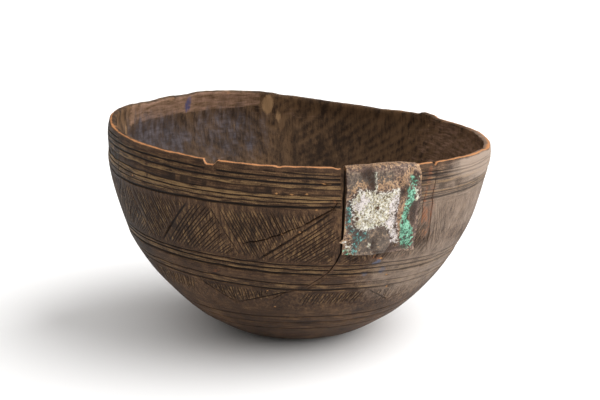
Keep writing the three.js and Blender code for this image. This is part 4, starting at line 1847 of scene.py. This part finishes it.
@dataclass
class Tacks:
    """The small hand-made tacks that hold the patch: a domed head on a short shank."""

    patch: TinPatch
    places: tuple[Plane, ...] = (
        (13.9, 129), (15.6, 152), (21.2, 160), (29.1, 173), (31.2, 147), (28.7, 123),
    )
    patch_edge: float = 12.4
    dome: tuple[Plane, ...] = ((0.82, 0.5), (0.62, 0.8), (0.35, 1.0))
    disc: float = 0.35
    head_radius: float = 1.6
    head_height: float = 0.7
    shank_radius: float = 0.7
    shank_length: float = 5.4

    def build(self) -> list[bpy.types.Object]:
        """Makes one tack, then its copies, each in its place and a little different."""
        luck = random.Random(SEED)
        made = []
        for number, (angle, height) in enumerate(self.places, 1):
            tack = self._tack(f"tack_head_{number}")
            wall = self.patch.wall
            climb = wall.outer.climb_at(height)
            down = wall.outer.climb_at(wall.rim(angle) - wall.rounding) - climb
            across = math.radians(angle - self.patch_edge) * SPLIT_RADIUS
            proud = self.patch.proud_at(across, down) + self.patch.thickness
            spot = self.patch.sheet_spot(angle, down, proud)
            _, _, out, up = wall.outer.place(climb)
            sideways, forward = turned(angle)
            axis = Vector((sideways * out, forward * out, up))
            tilt = Vector([luck.uniform(-0.1, 0.1) for _ in range(3)])
            turn = (axis + tilt).to_track_quat("Z", "Y").to_matrix().to_4x4()
            tack.data.transform(Matrix.Translation(spot) @ turn)
            made.append(tack)
        return made

    def _tack(self, name: str) -> bpy.types.Object:
        """One tack at the origin: the head's disc, drawn up into a dome and down into a shank."""
        bpy.ops.object.select_all(action="DESELECT")
        thickness = self.disc * MM
        bpy.ops.mesh.primitive_cylinder_add(
            vertices=20,
            radius=self.head_radius * MM,
            depth=thickness,
            location=(0, 0, thickness / 2),
        )
        tack = bpy.context.object
        tack.name = name
        bpy.ops.object.transform_apply(location=True)
        bpy.ops.object.mode_set(mode="EDIT")
        Bench.pick_facing(tack, Vector((0, 0, 1)))
        before = 1.0
        for share, rise in self.dome:
            bpy.ops.mesh.extrude_region_move()
            scale = share / before
            before = share
            bpy.ops.transform.resize(value=(scale, scale, 1), center_override=(0, 0, 0))
            top = thickness + rise * (self.head_height * MM - thickness)
            now = self._height_of_selection(tack)
            bpy.ops.transform.translate(value=(0, 0, top - now))
        Bench.pick_facing(tack, Vector((0, 0, -1)))
        bpy.ops.mesh.inset(thickness=(self.head_radius - self.shank_radius) * MM)
        for share in (0.75, 0.25):
            fall = {"value": (0, 0, -self.shank_length * share * MM)}
            bpy.ops.mesh.extrude_region_move(TRANSFORM_OT_translate=fall)
        bpy.ops.transform.resize(value=(0.15, 0.15, 1), center_override=(0, 0, 0))
        bpy.ops.object.mode_set(mode="OBJECT")
        luck = random.Random(name)
        for vertex in tack.data.vertices:
            if vertex.co.z > -0.1 * MM:
                swing = math.atan2(vertex.co.y, vertex.co.x)
                dent = 1 + 0.06 * math.sin(2 * swing + len(name)) + 0.04 * luck.uniform(-1, 1)
                vertex.co.x *= dent
                vertex.co.y *= dent
        bpy.ops.object.shade_smooth_by_angle(angle=math.radians(50))
        return tack

    @staticmethod
    def _height_of_selection(tack: bpy.types.Object) -> float:
        """The height of the selected points."""
        tack.update_from_editmode()
        heights = [vertex.co.z for vertex in tack.data.vertices if vertex.select]
        return sum(heights) / len(heights)


# --------------------------------------------------------------------------- the studio


@dataclass
class Studio:
    """A pale floor, soft light from the right and above, and the camera."""

    camera_distance: float = 1.082
    camera_height: float = 0.4007
    camera_pitch: float = 14.38
    lens: float = 69

    def build(self) -> None:
        """Places the floor, the lights and the camera."""
        self._floor()
        self._camera()
        self._sun("window_right", (1.0, 0.0, 0.72), 4.5, 76)
        self._sun("ceiling", (0.0, -0.35, 1.0), 1.7, 100)
        world = bpy.data.worlds.new("room")
        world.use_nodes = True
        world.node_tree.nodes["Background"].inputs[0].default_value = (1, 0.95, 0.9, 1)
        world.node_tree.nodes["Background"].inputs[1].default_value = 0.24
        bpy.context.scene.world = world
        bpy.context.scene.view_settings.view_transform = "Standard"

    @staticmethod
    def _floor() -> None:
        """A wide plain floor just under the foot."""
        bpy.ops.object.select_all(action="DESELECT")
        bpy.ops.mesh.primitive_plane_add(size=12, location=(0, 0, -0.0002))
        floor = bpy.context.object
        floor.name = "studio_floor"
        material = bpy.data.materials.new("studio_floor")
        material.use_nodes = True
        shader = material.node_tree.nodes["Principled BSDF"]
        shader.inputs["Base Color"].default_value = (0.9, 0.9, 0.9, 1)
        shader.inputs["Roughness"].default_value = 0.9
        floor.data.materials.append(material)

    def _camera(self) -> None:
        """The camera, in front of the bowl and a little above it."""
        lens = bpy.data.cameras.new("camera")
        lens.lens = self.lens
        lens.shift_x = 0.0029
        camera = bpy.data.objects.new("camera", lens)
        camera.location = (0, -self.camera_distance, self.camera_height)
        camera.rotation_euler = (math.radians(90 - self.camera_pitch), 0, 0)
        bpy.context.scene.collection.objects.link(camera)
        bpy.context.scene.camera = camera

    @staticmethod
    def _sun(name: str, source: Sequence[float], power: float, spread: float) -> None:
        """An even soft light from one side, as wide as its spread in degrees."""
        lamp = bpy.data.lights.new(name, "SUN")
        lamp.energy = power
        lamp.angle = math.radians(spread)
        light = bpy.data.objects.new(name, lamp)
        light.rotation_euler = Vector(source).to_track_quat("Z", "Y").to_euler()
        light.location = Vector(source)
        bpy.context.scene.collection.objects.link(light)


def main() -> None:
    """Builds the bowl piece by piece and sets up the studio."""
    logging.basicConfig(level=logging.INFO, format="%(name)s: %(message)s")
    wall, split = Wall(), Split()
    patch = TinPatch(wall)
    iron = IronFinish().make()
    pieces = [(BowlBody(wall, split).build(), "bowl_body", "wood", WoodFinish().make())]
    pieces.append((patch.build(), "tin_patch", "tin", TinFinish().make()))
    for number, tack in enumerate(Tacks(patch).build(), 1):
        pieces.append((tack, f"tack_{number}", "iron", iron))
    for piece, node, slot, material in pieces:
        piece.data.materials.append(material)
        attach(piece, "root")
        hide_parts(node)
        LOG.info("%s: %d faces", piece.name, len(piece.data.polygons))
    Studio().build()


if __name__ == "__main__":
    main()
